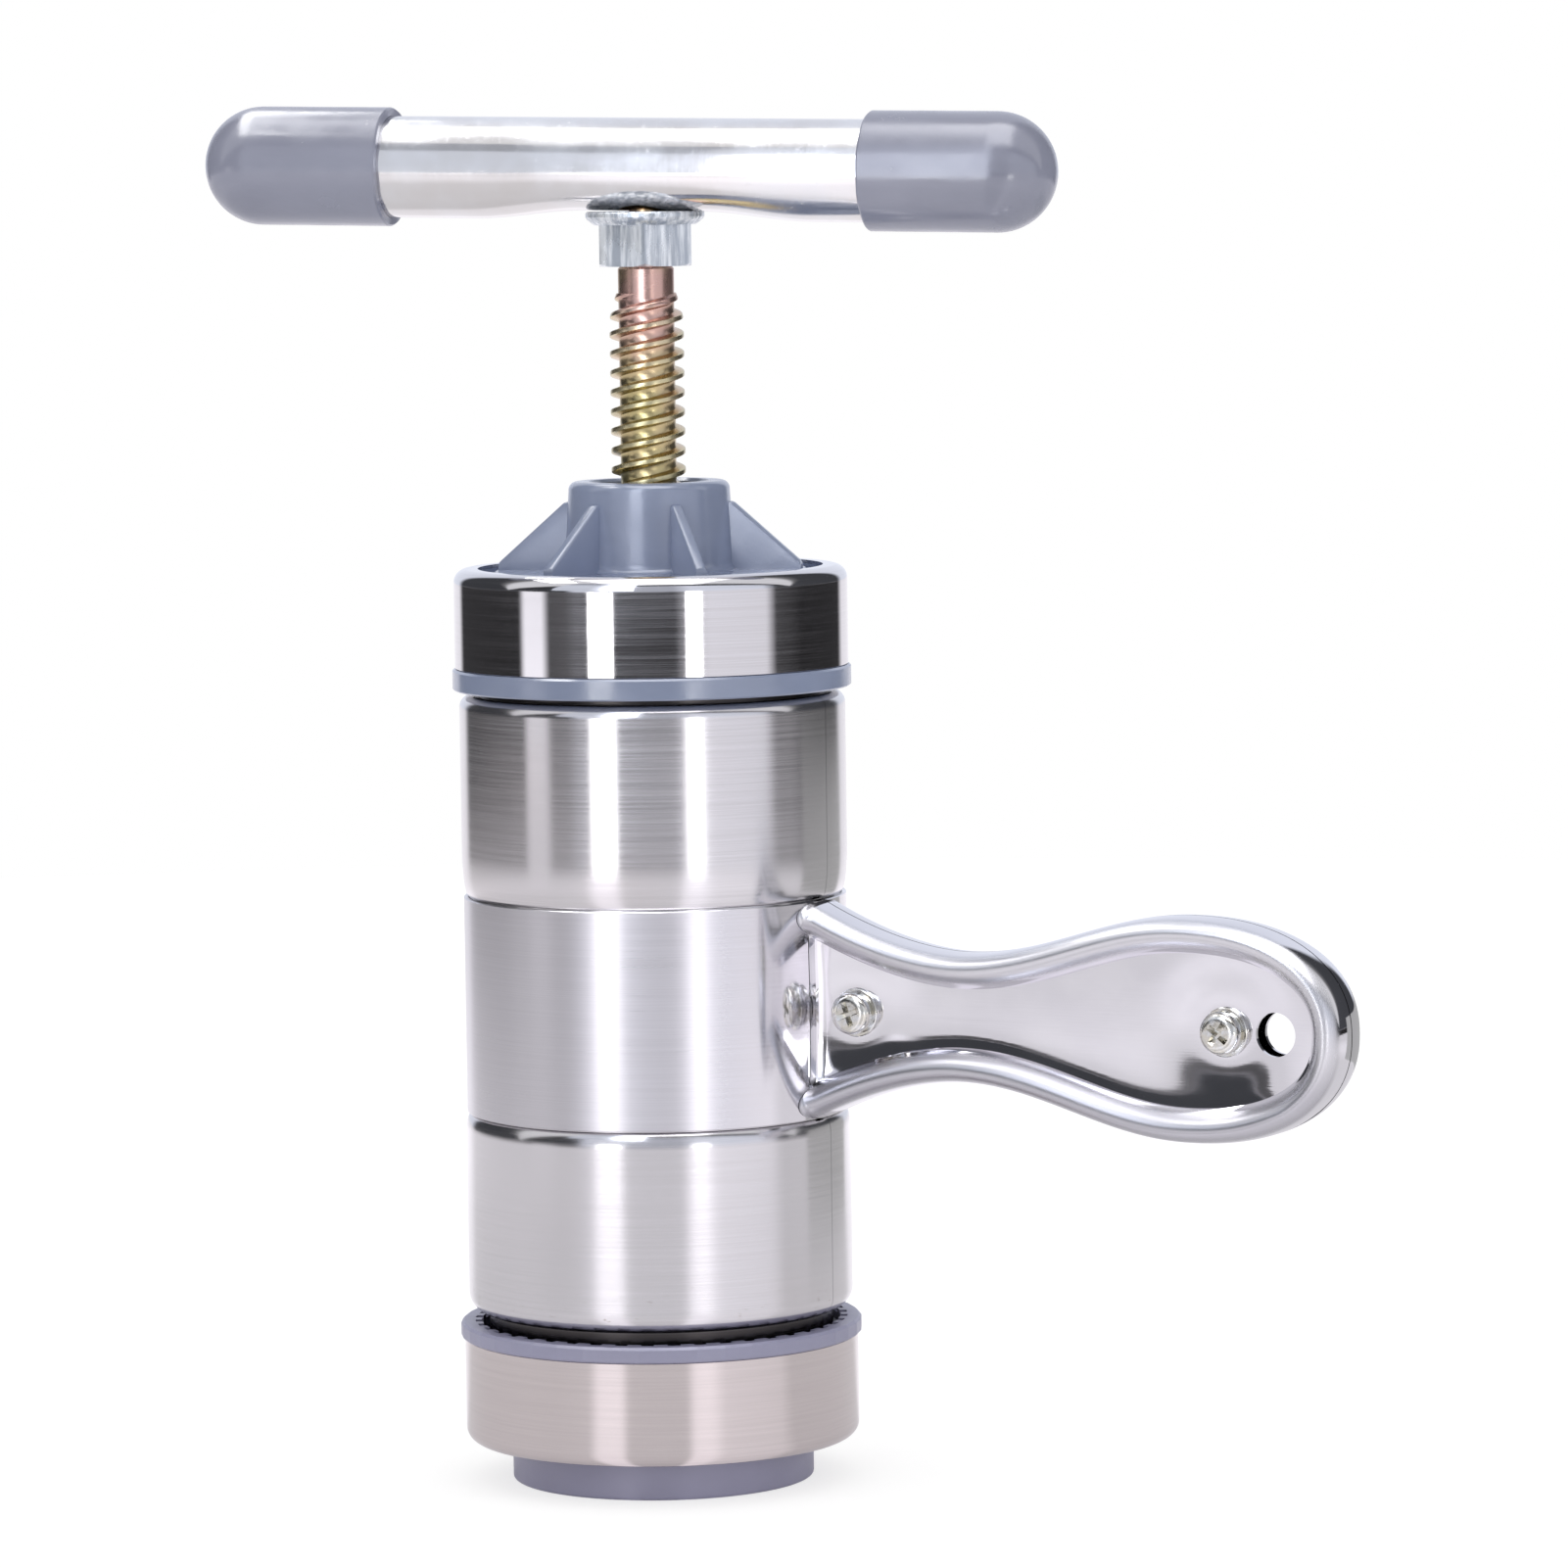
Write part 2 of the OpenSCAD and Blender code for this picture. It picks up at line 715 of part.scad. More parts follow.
module grip_nuts() {
    color("whitesmoke")
        for (at = grip_screws_at)
            difference() {
                translate([at, grip_nut_y + grip_nut_h, band_mid_z])
                    rotate([quarter, 0, 0])
                        cylinder(h = grip_nut_h, r = grip_nut_af / sqrt(3), $fn = hex);
                across_grip(at, grip_screw_r + seat, grip_nut_y - over, grip_nut_y + grip_nut_h + over);
            }
}

// The bottom cap and the die

module bottom_cap() {
    color("#9494A8") {
        difference() {
            union() {
                cap_blank(cap_r, low_flange_z + over - bottom_cap_z, bottom_cap_z);
                translate([0, 0, low_flange_z])
                    linear_extrude(height = flange_h)
                        polygon([
                            for (i = [1 : facet_count])
                                let (a = turn * i / facet_count)
                                flange_r * [cos(a), sin(a)]
                        ]);
            }
            rod(die_r + die_play, ledge_z, 0);
            rod(cap_bore_r, jacket_z, ledge_z);
            for (i = [1 : facet_count])
                rotate([0, 0, turn * i / facet_count])
                    translate([cap_bore_r - over, 0, low_flange_z + flange_h - notch_d])
                        cube([notch_len + over, notch_w, notch_d + over]);
        }
        cap_thread(neck_thread_z);
    }
}

module bottom_cap_shell() {
    color("#B8ADA8")
        shell_cup(shell_r, die_r + mouth_play, die_stand);
}

module die() {
    color("#8C8CA0")
        difference() {
            union() {
                rod(die_r, ledge_z + seat + over, 0);
                rod(cap_bore_r - slip, die_flange_t, ledge_z + seat);
            }
            rod(die_r - die_wall, die_top_z, die_floor_t);
            for (k = [1 : die_rings])
                for (i = [1 : hex * k])
                    rotate([0, 0, turn * i / (hex * k)])
                        translate([k * die_hole_pitch, 0, 0])
                            rod(die_hole_r, die_floor_t + 2 * over, -over);
        }
}

// The top cap

module top_cap_rib() {
    rotate([quarter, 0, 0])
        linear_extrude(height = rib_t, center = true)
            polygon([
                [boss_mouth_r + over, disc_z - over],
                [disc_r - over, disc_z - over],
                [disc_r - over, disc_z + rib_foot_h],
                [boss_r - over, boss_top_z - rib_top_drop],
                [boss_mouth_r + over, boss_top_z - rib_top_drop]
            ]);
}

// The boss's outline, from the disc up to the lip, with a fillet at the foot
module boss_blank() {
    rotate_extrude()
        polygon(concat(
            [[0, disc_z - over], [boss_foot_r + boss_fillet, disc_z - over]],
            [[boss_foot_r + boss_fillet, disc_z]],
            arc(boss_foot_r + boss_fillet, disc_z + boss_fillet, boss_fillet, 3 * quarter, 2 * quarter),
            arc(boss_r - boss_round, boss_top_z - boss_round, boss_round, 0, quarter),
            [[0, boss_top_z]]
        ));
}

module top_cap() {
    color("#8A8F9D") {
        difference() {
            union() {
                translate([0, 0, disc_z - seat])
                    mirror([0, 0, 1])
                        cap_blank(top_cap_r, disc_z - top_shell_z + over, 0);
                rod(top_flange_r, flange_h, top_flange_z);
                boss_blank();
                for (i = [0 : rib_count - 1])
                    rotate([0, 0, rib_turn + turn * i / rib_count])
                        top_cap_rib();
            }
            rod(cap_bore_r, ceiling_z - top_flange_z + over, top_flange_z - over);
            ring(shell_mouth_r, disc_r, groove_d + over, disc_z - groove_d);
            rod(nut_foot_r + slip, nut_foot_t + seat + over, ceiling_z - over);
            hexagon(drive_nut_af + 2 * slip, drive_nut_top_z + slip - ceiling_z, ceiling_z);
            rod(boss_mouth_r, boss_lip + 2 * over, boss_top_z - boss_lip - over);
        }
        cap_thread(top_thread_z);
    }
}

module top_cap_shell() {
    color("#C0C0C8")
        translate([0, 0, disc_z + lip_rise])
            mirror([0, 0, 1])
                shell_cup(top_shell_r, shell_mouth_r, 0);
}

module drive_nut() {
    n = floor(screw_segments * (drive_nut_top_z - ceiling_z - nut_ridge_root_w) / lead);
    color("gold") {
        difference() {
            union() {
                rod(nut_foot_r, nut_foot_t, ceiling_z);
                hexagon(drive_nut_af, drive_nut_top_z - ceiling_z, ceiling_z);
            }
            rod(screw_r + thread_play, drive_nut_top_z - ceiling_z + 2 * over, ceiling_z - over);
        }
        for (j = [0 : starts - 1])
            rotate([0, 0, nut_ridge_turn + turn * j / starts])
                translate([0, 0, nut_ridge_z])
                    ridge(screw_r + thread_play + nut_ridge_sink, screw_root_r + thread_play,
                        nut_ridge_root_w, nut_ridge_tip_w, lead, n, screw_segments);
    }
}

module top_cap_liner() {
    color("white")
        ring(cap_bore_r - slip, bore_r - liner_reach, liner_t, liner_z);
}

// The screw, its plate and the bar

module press_screw() {
    color("#B9A66A")
        difference() {
            union() {
                intersection() {
                    screw_thread(screw_low_z, screw_turns);
                    rod(screw_r + over, thread_top_z - hub_top_z - slip, hub_top_z + slip);
                }
                rod(shank_r, shank_len - seat, thread_top_z);
                rod(stud_r, nut_top_z - thread_top_z, thread_top_z);
                rod(tip_stud_r, inner_nut_z + inner_nut_h + thread_end - thread_top_z, thread_top_z);
                rod(journal_r, hub_top_z + slip + over - journal_z, journal_z);
            }
            rod(tip_stud_r, plate_screw_len + thread_end + over, journal_z - over);
        }
}

module press_plate() {
    color("lightgray")
        difference() {
            union() {
                rod(plate_r, plate_floor_t, plate_z);
                ring(plate_r, plate_r - plate_wall, plate_h, plate_z);
                rod(hub_r, hub_h, plate_z);
                for (i = [1 : plate_ribs])
                    rotate([0, 0, turn * i / plate_ribs])
                        translate([hub_r - plate_wall / 2, -plate_rib_t / 2, plate_z])
                            cube([plate_r - hub_r, plate_rib_t, plate_h - plate_rib_drop]);
            }
            rod(recess_r, recess_d + over, plate_z - over);
            rod(journal_r + plain_play, hub_h + over, plate_z);
        }
}

module plate_washer() {
    color("silver")
        ring(recess_r - washer_play, tip_stud_r + bore_fit, washer_t, journal_z - washer_t);
}

module plate_screw() {
    color("silver")
        difference() {
            union() {
                rod(plate_head_r, plate_head_h, plate_head_z);
                rod(tip_stud_r - seat, plate_head_h + washer_t + plate_screw_len, plate_head_z);
            }
            hexagon(plate_key_af, plate_key_d + over, plate_head_z - over);
        }
}

// Children lie along X, on the bar's axis
module along_bar() {
    translate([0, 0, bar_z])
        rotate([0, 0, bar_turn])
            rotate([0, bar_lean, 0])
                children();
}

// A round bar along X between two places
module bar(r, from, to) {
    translate([from, 0, 0])
        rotate([0, quarter, 0])
            cylinder(h = to - from, r = r);
}

// What the dent over the flange nut leaves away, down from the given height
module dent(z) {
    rotate([0, 0, bar_turn])
        rotate([quarter, 0, 0])
            linear_extrude(height = 4 * bar_r, center = true)
                polygon([
                    [-dent_half, z - dent_slope], [-nut_flange_r, z], [nut_flange_r, z], [dent_half, z - dent_slope],
                    [dent_half, z - bar_r], [-dent_half, z - bar_r]
                ]);
}

module handle_tube() {
    color("lightgray")
        difference() {
            difference() {
                along_bar()
                    bar(bar_r, bar_left_at, bar_right_at);
                dent(nut_top_z + seat);
            }
            difference() {
                along_bar()
                    bar(bar_r - bar_wall, bar_left_at - over, bar_right_at + over);
                dent(inner_nut_z - seat);
            }
            rod(tip_stud_r + bore_fit, inner_nut_h, nut_top_z - over);
        }
}

// A soft cap on one end of the bar: a sleeve with a half round end; side is -1 on the left
module bar_cap(end_at, length, side) {
    along_bar()
        translate([end_at, 0, 0])
            mirror([side < 0 ? 1 : 0, 0, 0])
                difference() {
                    union() {
                        bar(bar_cap_r, bar_cap_r - length, 0);
                        sphere(r = bar_cap_r);
                    }
                    bar(bar_r + seat, -length, seat);
                }
}

module left_bar_cap() {
    color("#8A8F9D")
        bar_cap(bar_left_at, left_cap_len, -1);
}

module right_bar_cap() {
    color("#8A8F9D")
        bar_cap(bar_right_at, right_cap_len, 1);
}

module flange_nut() {
    color("whitesmoke")
        difference() {
            union() {
                hexagon(nut_af, nut_hex_h + nut_flange_t / 2, nut_z);
                rod(nut_flange_r, nut_flange_t, nut_z + nut_hex_h);
            }
            rod(stud_r + seat, nut_hex_h + nut_flange_t + 2 * over, nut_z - over);
        }
}

module inner_lock_nut() {
    color("silver")
        difference() {
            rotate([0, 0, bar_turn])
                hexagon(inner_nut_af, inner_nut_h, inner_nut_z);
            rod(tip_stud_r + seat, inner_nut_h + 2 * over, inner_nut_z - over);
        }
}

handle_tube();
left_bar_cap();
right_bar_cap();
flange_nut();
inner_lock_nut();
press_screw();
press_plate();
plate_washer();
plate_screw();
top_cap();
top_cap_shell();
drive_nut();
top_cap_liner();
inner_tube();
jacket();
grip_band();
grip_halves();
grip_screws();
grip_spring_washers();
grip_flat_washers();
grip_nuts();
bottom_cap();
bottom_cap_shell();
die();
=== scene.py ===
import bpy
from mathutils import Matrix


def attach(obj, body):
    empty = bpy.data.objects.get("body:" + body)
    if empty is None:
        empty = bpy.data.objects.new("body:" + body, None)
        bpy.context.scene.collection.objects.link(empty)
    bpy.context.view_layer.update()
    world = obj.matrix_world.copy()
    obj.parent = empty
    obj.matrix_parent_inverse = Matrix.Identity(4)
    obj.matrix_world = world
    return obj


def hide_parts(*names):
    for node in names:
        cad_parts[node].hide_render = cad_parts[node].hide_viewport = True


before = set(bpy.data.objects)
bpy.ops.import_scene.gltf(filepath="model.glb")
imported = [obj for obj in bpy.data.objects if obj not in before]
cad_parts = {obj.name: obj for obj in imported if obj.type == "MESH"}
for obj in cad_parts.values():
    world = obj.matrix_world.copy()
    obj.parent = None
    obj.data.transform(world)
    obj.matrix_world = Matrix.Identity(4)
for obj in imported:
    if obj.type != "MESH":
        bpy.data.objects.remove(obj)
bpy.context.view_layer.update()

import math

import bmesh
import bpy
from mathutils import Matrix, Vector

# The inner tube is the thin steel barrel that holds the dough, drawn bright and rolled with a
# coarse thread at each neck for the caps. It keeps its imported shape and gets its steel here.
MM = 0.001
bright_steel, neck_shade_black = (0.66, 0.66, 0.67), (0.06, 0.055, 0.055)
low_neck_at, top_neck_at, neck_face_at = (0.0315, 0.0355), (0.1445, 0.148), (0.0313, 0.0317)


class Wiring:
    """The nodes of a finish or a light, joined up by short calls."""

    def __init__(self, owner):
        owner.use_nodes = True
        self.nodes, self.links = owner.node_tree.nodes, owner.node_tree.links

    def feed(self, socket, value):
        if hasattr(value, "links"):
            self.links.new(value, socket)
        else:
            socket.default_value = value

    def node(self, kind, inputs=(), **settings):
        """Adds a node with its settings; inputs are pairs of a socket and what goes into it."""
        step = self.nodes.new("ShaderNode" + kind)
        for name, value in settings.items():
            setattr(step, name, value)
        for socket, value in inputs:
            self.feed(step.inputs[socket], value)
        return step

    def math(self, kind, a, b=0.0):
        return self.node("Math", ((0, a), (1, b)), operation=kind).outputs[0]

    def parts(self, vector):
        """X, Y and Z of a place or a direction."""
        return self.node("SeparateXYZ", ((0, vector),)).outputs

    def ramp(self, value, stops):
        """Levels or colours by place from nought to one; a third number is the share that counts."""
        step = self.node("ValToRGB", (("Fac", value),))
        elements = step.color_ramp.elements
        for i, (place, level, *share) in enumerate(stops):
            element = elements[0] if i == 0 else elements[-1] if i == len(stops) - 1 else elements.new(place)
            colour = level if isinstance(level, tuple) else (level, level, level)
            element.position = place
            element.color = (*colour, share[0] if share else 1)
        return step.outputs


class Finish(Wiring):
    """A surface built up from patterns on the piece's own coordinates, in metres."""

    def __init__(self, name, colour, metal, roughness):
        self.look = bpy.data.materials.new(name)
        super().__init__(self.look)
        self.shader = self.nodes["Principled BSDF"]
        self.set("Base Color", (*colour, 1))
        self.set("Metallic", metal)
        self.set("Roughness", roughness)
        self.place = self.node("TexCoord").outputs["Object"]

    def set(self, socket, value):
        self.shader.inputs[socket].default_value = value

    def noise(self, stretch, detail=4.0, roughness=0.55, shift=(0, 0, 0)):
        """Noise with so many waves to the metre along each axis."""
        mapping = self.node("Mapping", (("Vector", self.place), ("Scale", stretch), ("Location", shift)))
        waves = self.node("TexNoise", (("Vector", mapping.outputs["Vector"]), ("Scale", 1),
                                       ("Detail", detail), ("Roughness", roughness)))
        return waves.outputs["Fac"]

    def between(self, value, low, high, to_low=0.0, to_high=1.0):
        """A value that goes smoothly from to_low to to_high as the pattern goes from low to high."""
        sockets = ("Value", "From Min", "From Max", "To Min", "To Max")
        values = zip(sockets, (value, low, high, to_low, to_high))
        return self.node("MapRange", values, interpolation_type="SMOOTHSTEP").outputs["Result"]

    def axis(self, name):
        return self.parts(self.place)[name]

    def from_axis(self):
        """How far a point is from the upright axis."""
        x, y = (self.math("POWER", self.axis(name), 2.0) for name in "XY")
        return self.math("SQRT", self.math("ADD", x, y))

    def mix(self, share, first, second):
        colours = (value if hasattr(value, "links") else (*value, 1) for value in (first, second))
        return self.node("Mix", zip((0, 6, 7), (share, *colours)), data_type="RGBA").outputs[2]

    def paint(self, colour):
        self.links.new(colour, self.shader.inputs["Base Color"])

    def rough(self, value):
        self.links.new(value, self.shader.inputs["Roughness"])

    def bump(self, height, depth_mm):
        """Relief of the given depth; a second call lies on top of the first."""
        step = self.node("Bump", (("Distance", depth_mm * MM), ("Height", height)))
        socket = self.shader.inputs["Normal"]
        if socket.links:
            self.links.new(socket.links[0].from_socket, step.inputs["Normal"])
        self.links.new(step.outputs["Normal"], socket)


def dress(node, finish):
    """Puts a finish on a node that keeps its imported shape."""
    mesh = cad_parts[node].data
    mesh.materials.clear()
    mesh.materials.append(finish.look)


drawn_steel = Finish("drawn_steel", bright_steel, 1.0, 0.24)
tube_lines = drawn_steel.noise((25, 25, 1400), 5)
drawn_steel.rough(drawn_steel.between(tube_lines, 0.3, 0.7, 0.18, 0.32))
drawn_steel.bump(tube_lines, 0.004)
tube_grey = drawn_steel.mix(drawn_steel.noise((60, 60, 40)), (0.6, 0.6, 0.61), (0.7, 0.7, 0.71))
# Painted shade: the outer faces at both necks are painted nearly black, standing in for the shadow the necks
# sit in under the caps.
low_neck = drawn_steel.between(drawn_steel.axis("Z"), *low_neck_at, 1.0, 0.0)
top_neck = drawn_steel.between(drawn_steel.axis("Z"), *top_neck_at)
at_neck = drawn_steel.math("MAXIMUM", low_neck, top_neck)
painted_neck_shade = drawn_steel.math("MULTIPLY", at_neck, drawn_steel.between(drawn_steel.from_axis(), *neck_face_at))
drawn_steel.paint(drawn_steel.mix(painted_neck_shade, tube_grey, neck_shade_black))
dress("inner_tube", drawn_steel)


# The jacket is a sleeve of thin stainless sheet, spun in at both ends and rolled in at its waist,
# where the band of the side grip sits. It is brushed round the axis.
jacket_low_z, jacket_top_z = 32.1, 148.3
jacket_r, waist_r = 36.15, 35.0
waist_low_z, waist_top_z = 69.65, 110.65
low_round, top_round, waist_low_round, waist_top_round = 3.6, 2.3, 3.0, 8.0
sheet, neck_r = 0.6, 32.45
steel_grey = (0.655, 0.64, 0.655)
long_run, support = 2, 0.25


def arc(centre_r, centre_z, reach_r, reach_z, start, end, steps=8):
    """Points of a round or oval corner, by radius and height, from one angle to another."""
    return [
        (centre_r + reach_r * math.cos(math.radians(a)), centre_z + reach_z * math.sin(math.radians(a)))
        for a in (start + (end - start) * i / steps for i in range(steps + 1))
    ]


def supported(outline):
    """Adds a point close to each end of a long straight run, so that the run shades evenly."""
    points = []
    for (r, z), (next_r, next_z) in zip(outline, outline[1:]):
        points.append((r, z))
        run = math.hypot(next_r - r, next_z - z)
        if run > long_run:
            for share in (support / run, 1 - support / run):
                points.append((r + (next_r - r) * share, z + (next_z - z) * share))
    return points + [outline[-1]]


def turned(outline, steps=192):
    """Turns an outline of (radius, height) about the axis; one that starts off it is a closed ring."""
    bm = bmesh.new()
    points = [bm.verts.new((r, 0, z)) for r, z in supported(outline)]
    lines = [bm.edges.new(pair) for pair in zip(points, points[1:])]
    if outline[0][0] > 0:
        lines.append(bm.edges.new((points[-1], points[0])))
    bmesh.ops.spin(bm, geom=points + lines, cent=(0, 0, 0), axis=(0, 0, 1), angle=math.tau, steps=steps,
                   use_merge=True)
    bmesh.ops.remove_doubles(bm, verts=bm.verts, dist=0.0005)
    bmesh.ops.recalc_face_normals(bm, faces=bm.faces)
    return bm


def object_of(bm, name):
    """Makes a shape an object in the scene."""
    mesh = bpy.data.meshes.new(name)
    bm.to_mesh(mesh)
    bm.free()
    piece = bpy.data.objects.new(name, mesh)
    bpy.context.scene.collection.objects.link(piece)
    return piece


def made(bm, name, finish, body, slot, *nodes, crease=32):
    """Hands a finished shape in millimetres over to its body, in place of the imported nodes."""
    bmesh.ops.scale(bm, vec=(MM, MM, MM), verts=bm.verts)
    for face in bm.faces:
        face.smooth = True
    for edge in bm.edges:
        if len(edge.link_faces) == 2 and edge.calc_face_angle(0) > math.radians(crease):
            edge.smooth = False
    piece = object_of(bm, name)
    piece.data.materials.append(finish.look)
    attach(piece, body)
    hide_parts(*nodes)


def jacket_outline(inset):
    """The jacket from its lower seam to its upper one, set in from its outer face."""
    step_in, low_in, top_in = jacket_r - waist_r - inset, low_round - inset, top_round - inset
    return (
        [(neck_r, jacket_low_z + inset)]
        + arc(jacket_r - low_round, jacket_low_z + low_round, low_in, low_in, -90, 0, 10)
        + arc(waist_r, waist_low_z - waist_low_round, step_in, waist_low_round - inset, 0, 90)
        + [(waist_r - inset, waist_low_z), (waist_r - inset, waist_top_z)]
        + arc(waist_r, waist_top_z + waist_top_round, step_in, waist_top_round - inset, -90, 0, 12)
        + arc(jacket_r - top_round, jacket_top_z - top_round, top_in, top_in, 0, 90, 10)
        + [(neck_r, jacket_top_z - inset)]
    )


def brushed(name, colour, roughness, streak=0.05):
    """Stainless brushed round the axis: fine rings, a few deeper scratches, and stretched highlights."""
    finish = Finish(name, colour, 1.0, roughness)
    fine = finish.noise((30, 30, 5200), 5, 0.6)
    coarse = finish.noise((22, 22, 1500), 3, 0.6, (3, 1, 2))
    cloud = finish.noise((26, 26, 18), 3)
    lines = finish.math("ADD", finish.math("MULTIPLY", fine, 0.65), finish.math("MULTIPLY", coarse, 0.35))
    dull = tuple(channel * (1 - 2.2 * streak) for channel in colour)
    bright = tuple(min(1, channel * (1 + 2.2 * streak)) for channel in colour)
    finish.steel = finish.mix(finish.between(lines, 0.36, 0.64), dull, bright)
    finish.paint(finish.steel)
    finish.rough(finish.math("ADD", finish.between(lines, 0.35, 0.65, roughness - 0.02, roughness + 0.03),
                            finish.between(cloud, 0.35, 0.7, -0.01, 0.02)))
    finish.bump(lines, 0.0012)
    finish.set("Anisotropic", 0.6)
    finish.set("Anisotropic Rotation", 0.25)
    tangent = finish.nodes.new("ShaderNodeTangent")
    tangent.direction_type = "RADIAL"
    tangent.axis = "Z"
    finish.links.new(tangent.outputs["Tangent"], finish.shader.inputs["Tangent"])
    return finish


jacket_steel = brushed("jacket_steel", steel_grey, 0.18, 0.02)
seam_turn = jacket_steel.math("ARCTAN2", jacket_steel.axis("Y"), jacket_steel.axis("X"))
seam_off = jacket_steel.math("ABSOLUTE", jacket_steel.math("SUBTRACT", seam_turn, math.radians(3.4)))
seam = jacket_steel.between(seam_off, 0.003, 0.009, 1.0, 0.0)
low_end = jacket_steel.between(jacket_steel.axis("Z"), 0.035, 0.043, 1.0, 0.0)
scratches = jacket_steel.between(jacket_steel.noise((420, 420, 900), 5, 0.7), 0.6, 0.72)
scuff = jacket_steel.math("MULTIPLY", jacket_steel.math("MULTIPLY", scratches, low_end), 0.55)
stain = jacket_steel.between(jacket_steel.noise((17, 17, 22), 2, 0.5, (4, 7, 1)), 0.52, 0.75, 0.0, 0.3)
stained = jacket_steel.mix(stain, jacket_steel.steel, (0.66, 0.6, 0.59))
marked = jacket_steel.mix(scuff, stained, (0.33, 0.28, 0.24))
jacket_steel.paint(jacket_steel.mix(jacket_steel.math("MULTIPLY", seam, 0.5), marked, (0.3, 0.3, 0.31)))
made(turned(jacket_outline(0) + jacket_outline(sheet)[::-1]), "barrel_jacket", jacket_steel, "barrel",
     "brushed_steel", "jacket")


# The side grip is one strip of stainless sheet: a band bent round the barrel's waist, whose two ends
# are pressed into the rimmed halves of the grip and screwed face to face.
band_mid_z = 90.15
band_r_in, band_r_out = 35.1, 35.9
band_half = 20.3
slit_half, band_edge = 1.5, 0.15
grip_sheet = 0.8
grip_start, neck_at, paddle_at, grip_tip = 36.7, 66.9, 113.0, 144.4
neck_half, paddle_half = 12.0, 20.6
panel_h, crest_h, rim_w, seam_half = 2.3, 6.8, 6.6, 0.15
grip_screws_at = (44.5, 120.5)
hang_at, hang_r = 130.5, 4.0
root_fillet, root_w, root_open = 1.0, 1.2, 1.2
dish_depth, dish_flat_r, dish_r = 0.42, 4.7, 6.5
low_bend, rim_bend, rim_bend_w = 0.44, 0.22, 1.1
tip_squareness, side_steps, tip_steps = 2.25, 76, 40
rim_shares = ((0, 0), (0.002, 0.12), (0.008, 0.24), (0.02, 0.36), (0.045, 0.5), (0.095, 0.67),
              (0.165, 0.82), (0.245, 0.925), (0.33, 0.98), (0.42, 1), (0.53, 0.965), (0.64, 0.86),
              (0.74, 0.67), (0.83, 0.46), (0.91, 0.24), (0.96, 0.09), (1, 0))
rim_crest = 9
panel_rows = 22


def half_width(s):
    """Half the grip's width at a distance from the barrel's axis."""
    if s <= grip_start:
        return band_half
    if s <= neck_at:
        return neck_half + (band_half - neck_half) * ((neck_at - s) / (neck_at - grip_start)) ** 1.8
    middle, swing = (paddle_half + neck_half) / 2, (paddle_half - neck_half) / 2
    return middle - swing * math.cos(math.pi * (s - neck_at) / (paddle_at - neck_at))


def grip_edge():
    """The grip's upper edge, from the band to the middle of its tip."""
    start = [(grip_start - root_w + root_w * i / 6, band_half) for i in range(7)]
    places = [grip_start + (paddle_at - grip_start) * i / side_steps for i in range(1, side_steps + 1)]
    turns = [math.radians(90 * (i / tip_steps) ** 1.1) for i in range(1, tip_steps + 1)]
    tip = [(paddle_at + (grip_tip - paddle_at) * math.sin(a) ** (2 / tip_squareness),
            paddle_half * max(0.0, math.cos(a)) ** (2 / tip_squareness)) for a in turns]
    return start + [(s, half_width(s)) for s in places] + tip


def panel_height(s, z):
    """The panel's height over the middle plane: dished to each screw, and bent up to the lower rim."""
    lift = dish_depth
    for at in grip_screws_at:
        away = max(0.0, math.hypot(s - at, z) - dish_flat_r)
        lift *= 1 - math.exp(-((away / dish_r) ** 2))
    half = half_width(min(s, paddle_at))
    low = max(0.0, -z / half - 0.25)
    to_rim = max(0.0, half - rim_w + z)
    rim_rise = rim_bend * math.exp(-to_rim / rim_bend_w) if z < 0 else 0.0
    return panel_h + lift + low_bend * low * low + rim_rise


def grip_half():
    """The near half as a thin skin: rows run from the edge over the rim and down to the middle line."""
    edge = grip_edge()
    rows = len(rim_shares) + panel_rows
    bm = bmesh.new()
    bmesh.ops.create_grid(bm, x_segments=len(edge) - 1, y_segments=rows - 1, size=1)
    bm.verts.ensure_lookup_table()
    columns = sorted(bm.verts, key=lambda v: (round(v.co.x, 5), v.co.y))
    for i, (s, w) in enumerate(edge):
        before, after = edge[max(0, i - 1)], edge[min(len(edge) - 1, i + 1)]
        along = Vector((after[0] - before[0], after[1] - before[1])).normalized()
        inward = Vector((along.y, -along.x))
        if s <= grip_start:
            inward = Vector((0, -1))
        elif i == len(edge) - 1:
            inward = Vector((-1, 0))
        foot = Vector((s, w)) + inward * rim_w
        for k in range(rows):
            if k < len(rim_shares):
                at = Vector((s, w)) + inward * rim_w * rim_shares[k][0]
                base = seam_half if k <= rim_crest else panel_height(*foot)
                height = base + rim_shares[k][1] * (crest_h - base)
            else:
                at = Vector((foot.x, foot.y * (1 - (k - len(rim_shares) + 1) / panel_rows)))
                height = panel_height(*at)
            columns[i * rows + k].co = (at.x, -height, at.y)
    return bm


def lower_side(bm):
    """The same skin below the middle line, bent up to its rim, joined to the upper one."""
    twin = bmesh.ops.duplicate(bm, geom=bm.verts[:] + bm.edges[:] + bm.faces[:])
    for vert in (item for item in twin["geom"] if isinstance(item, bmesh.types.BMVert)):
        x, y, z = vert.co
        inside = half_width(min(x, paddle_at)) - rim_w - abs(z)
        extra = panel_height(x, -z) - panel_height(x, z)
        vert.co = (x, y - extra * max(0.0, min(1.0, 1 + inside / rim_w)), -z)
    bmesh.ops.remove_doubles(bm, verts=bm.verts, dist=0.002)
    bmesh.ops.recalc_face_normals(bm, faces=bm.faces)
    bm.normal_update()
    if sum(face.normal.y * face.calc_area() for face in bm.faces) > 0:
        bmesh.ops.reverse_faces(bm, faces=bm.faces)


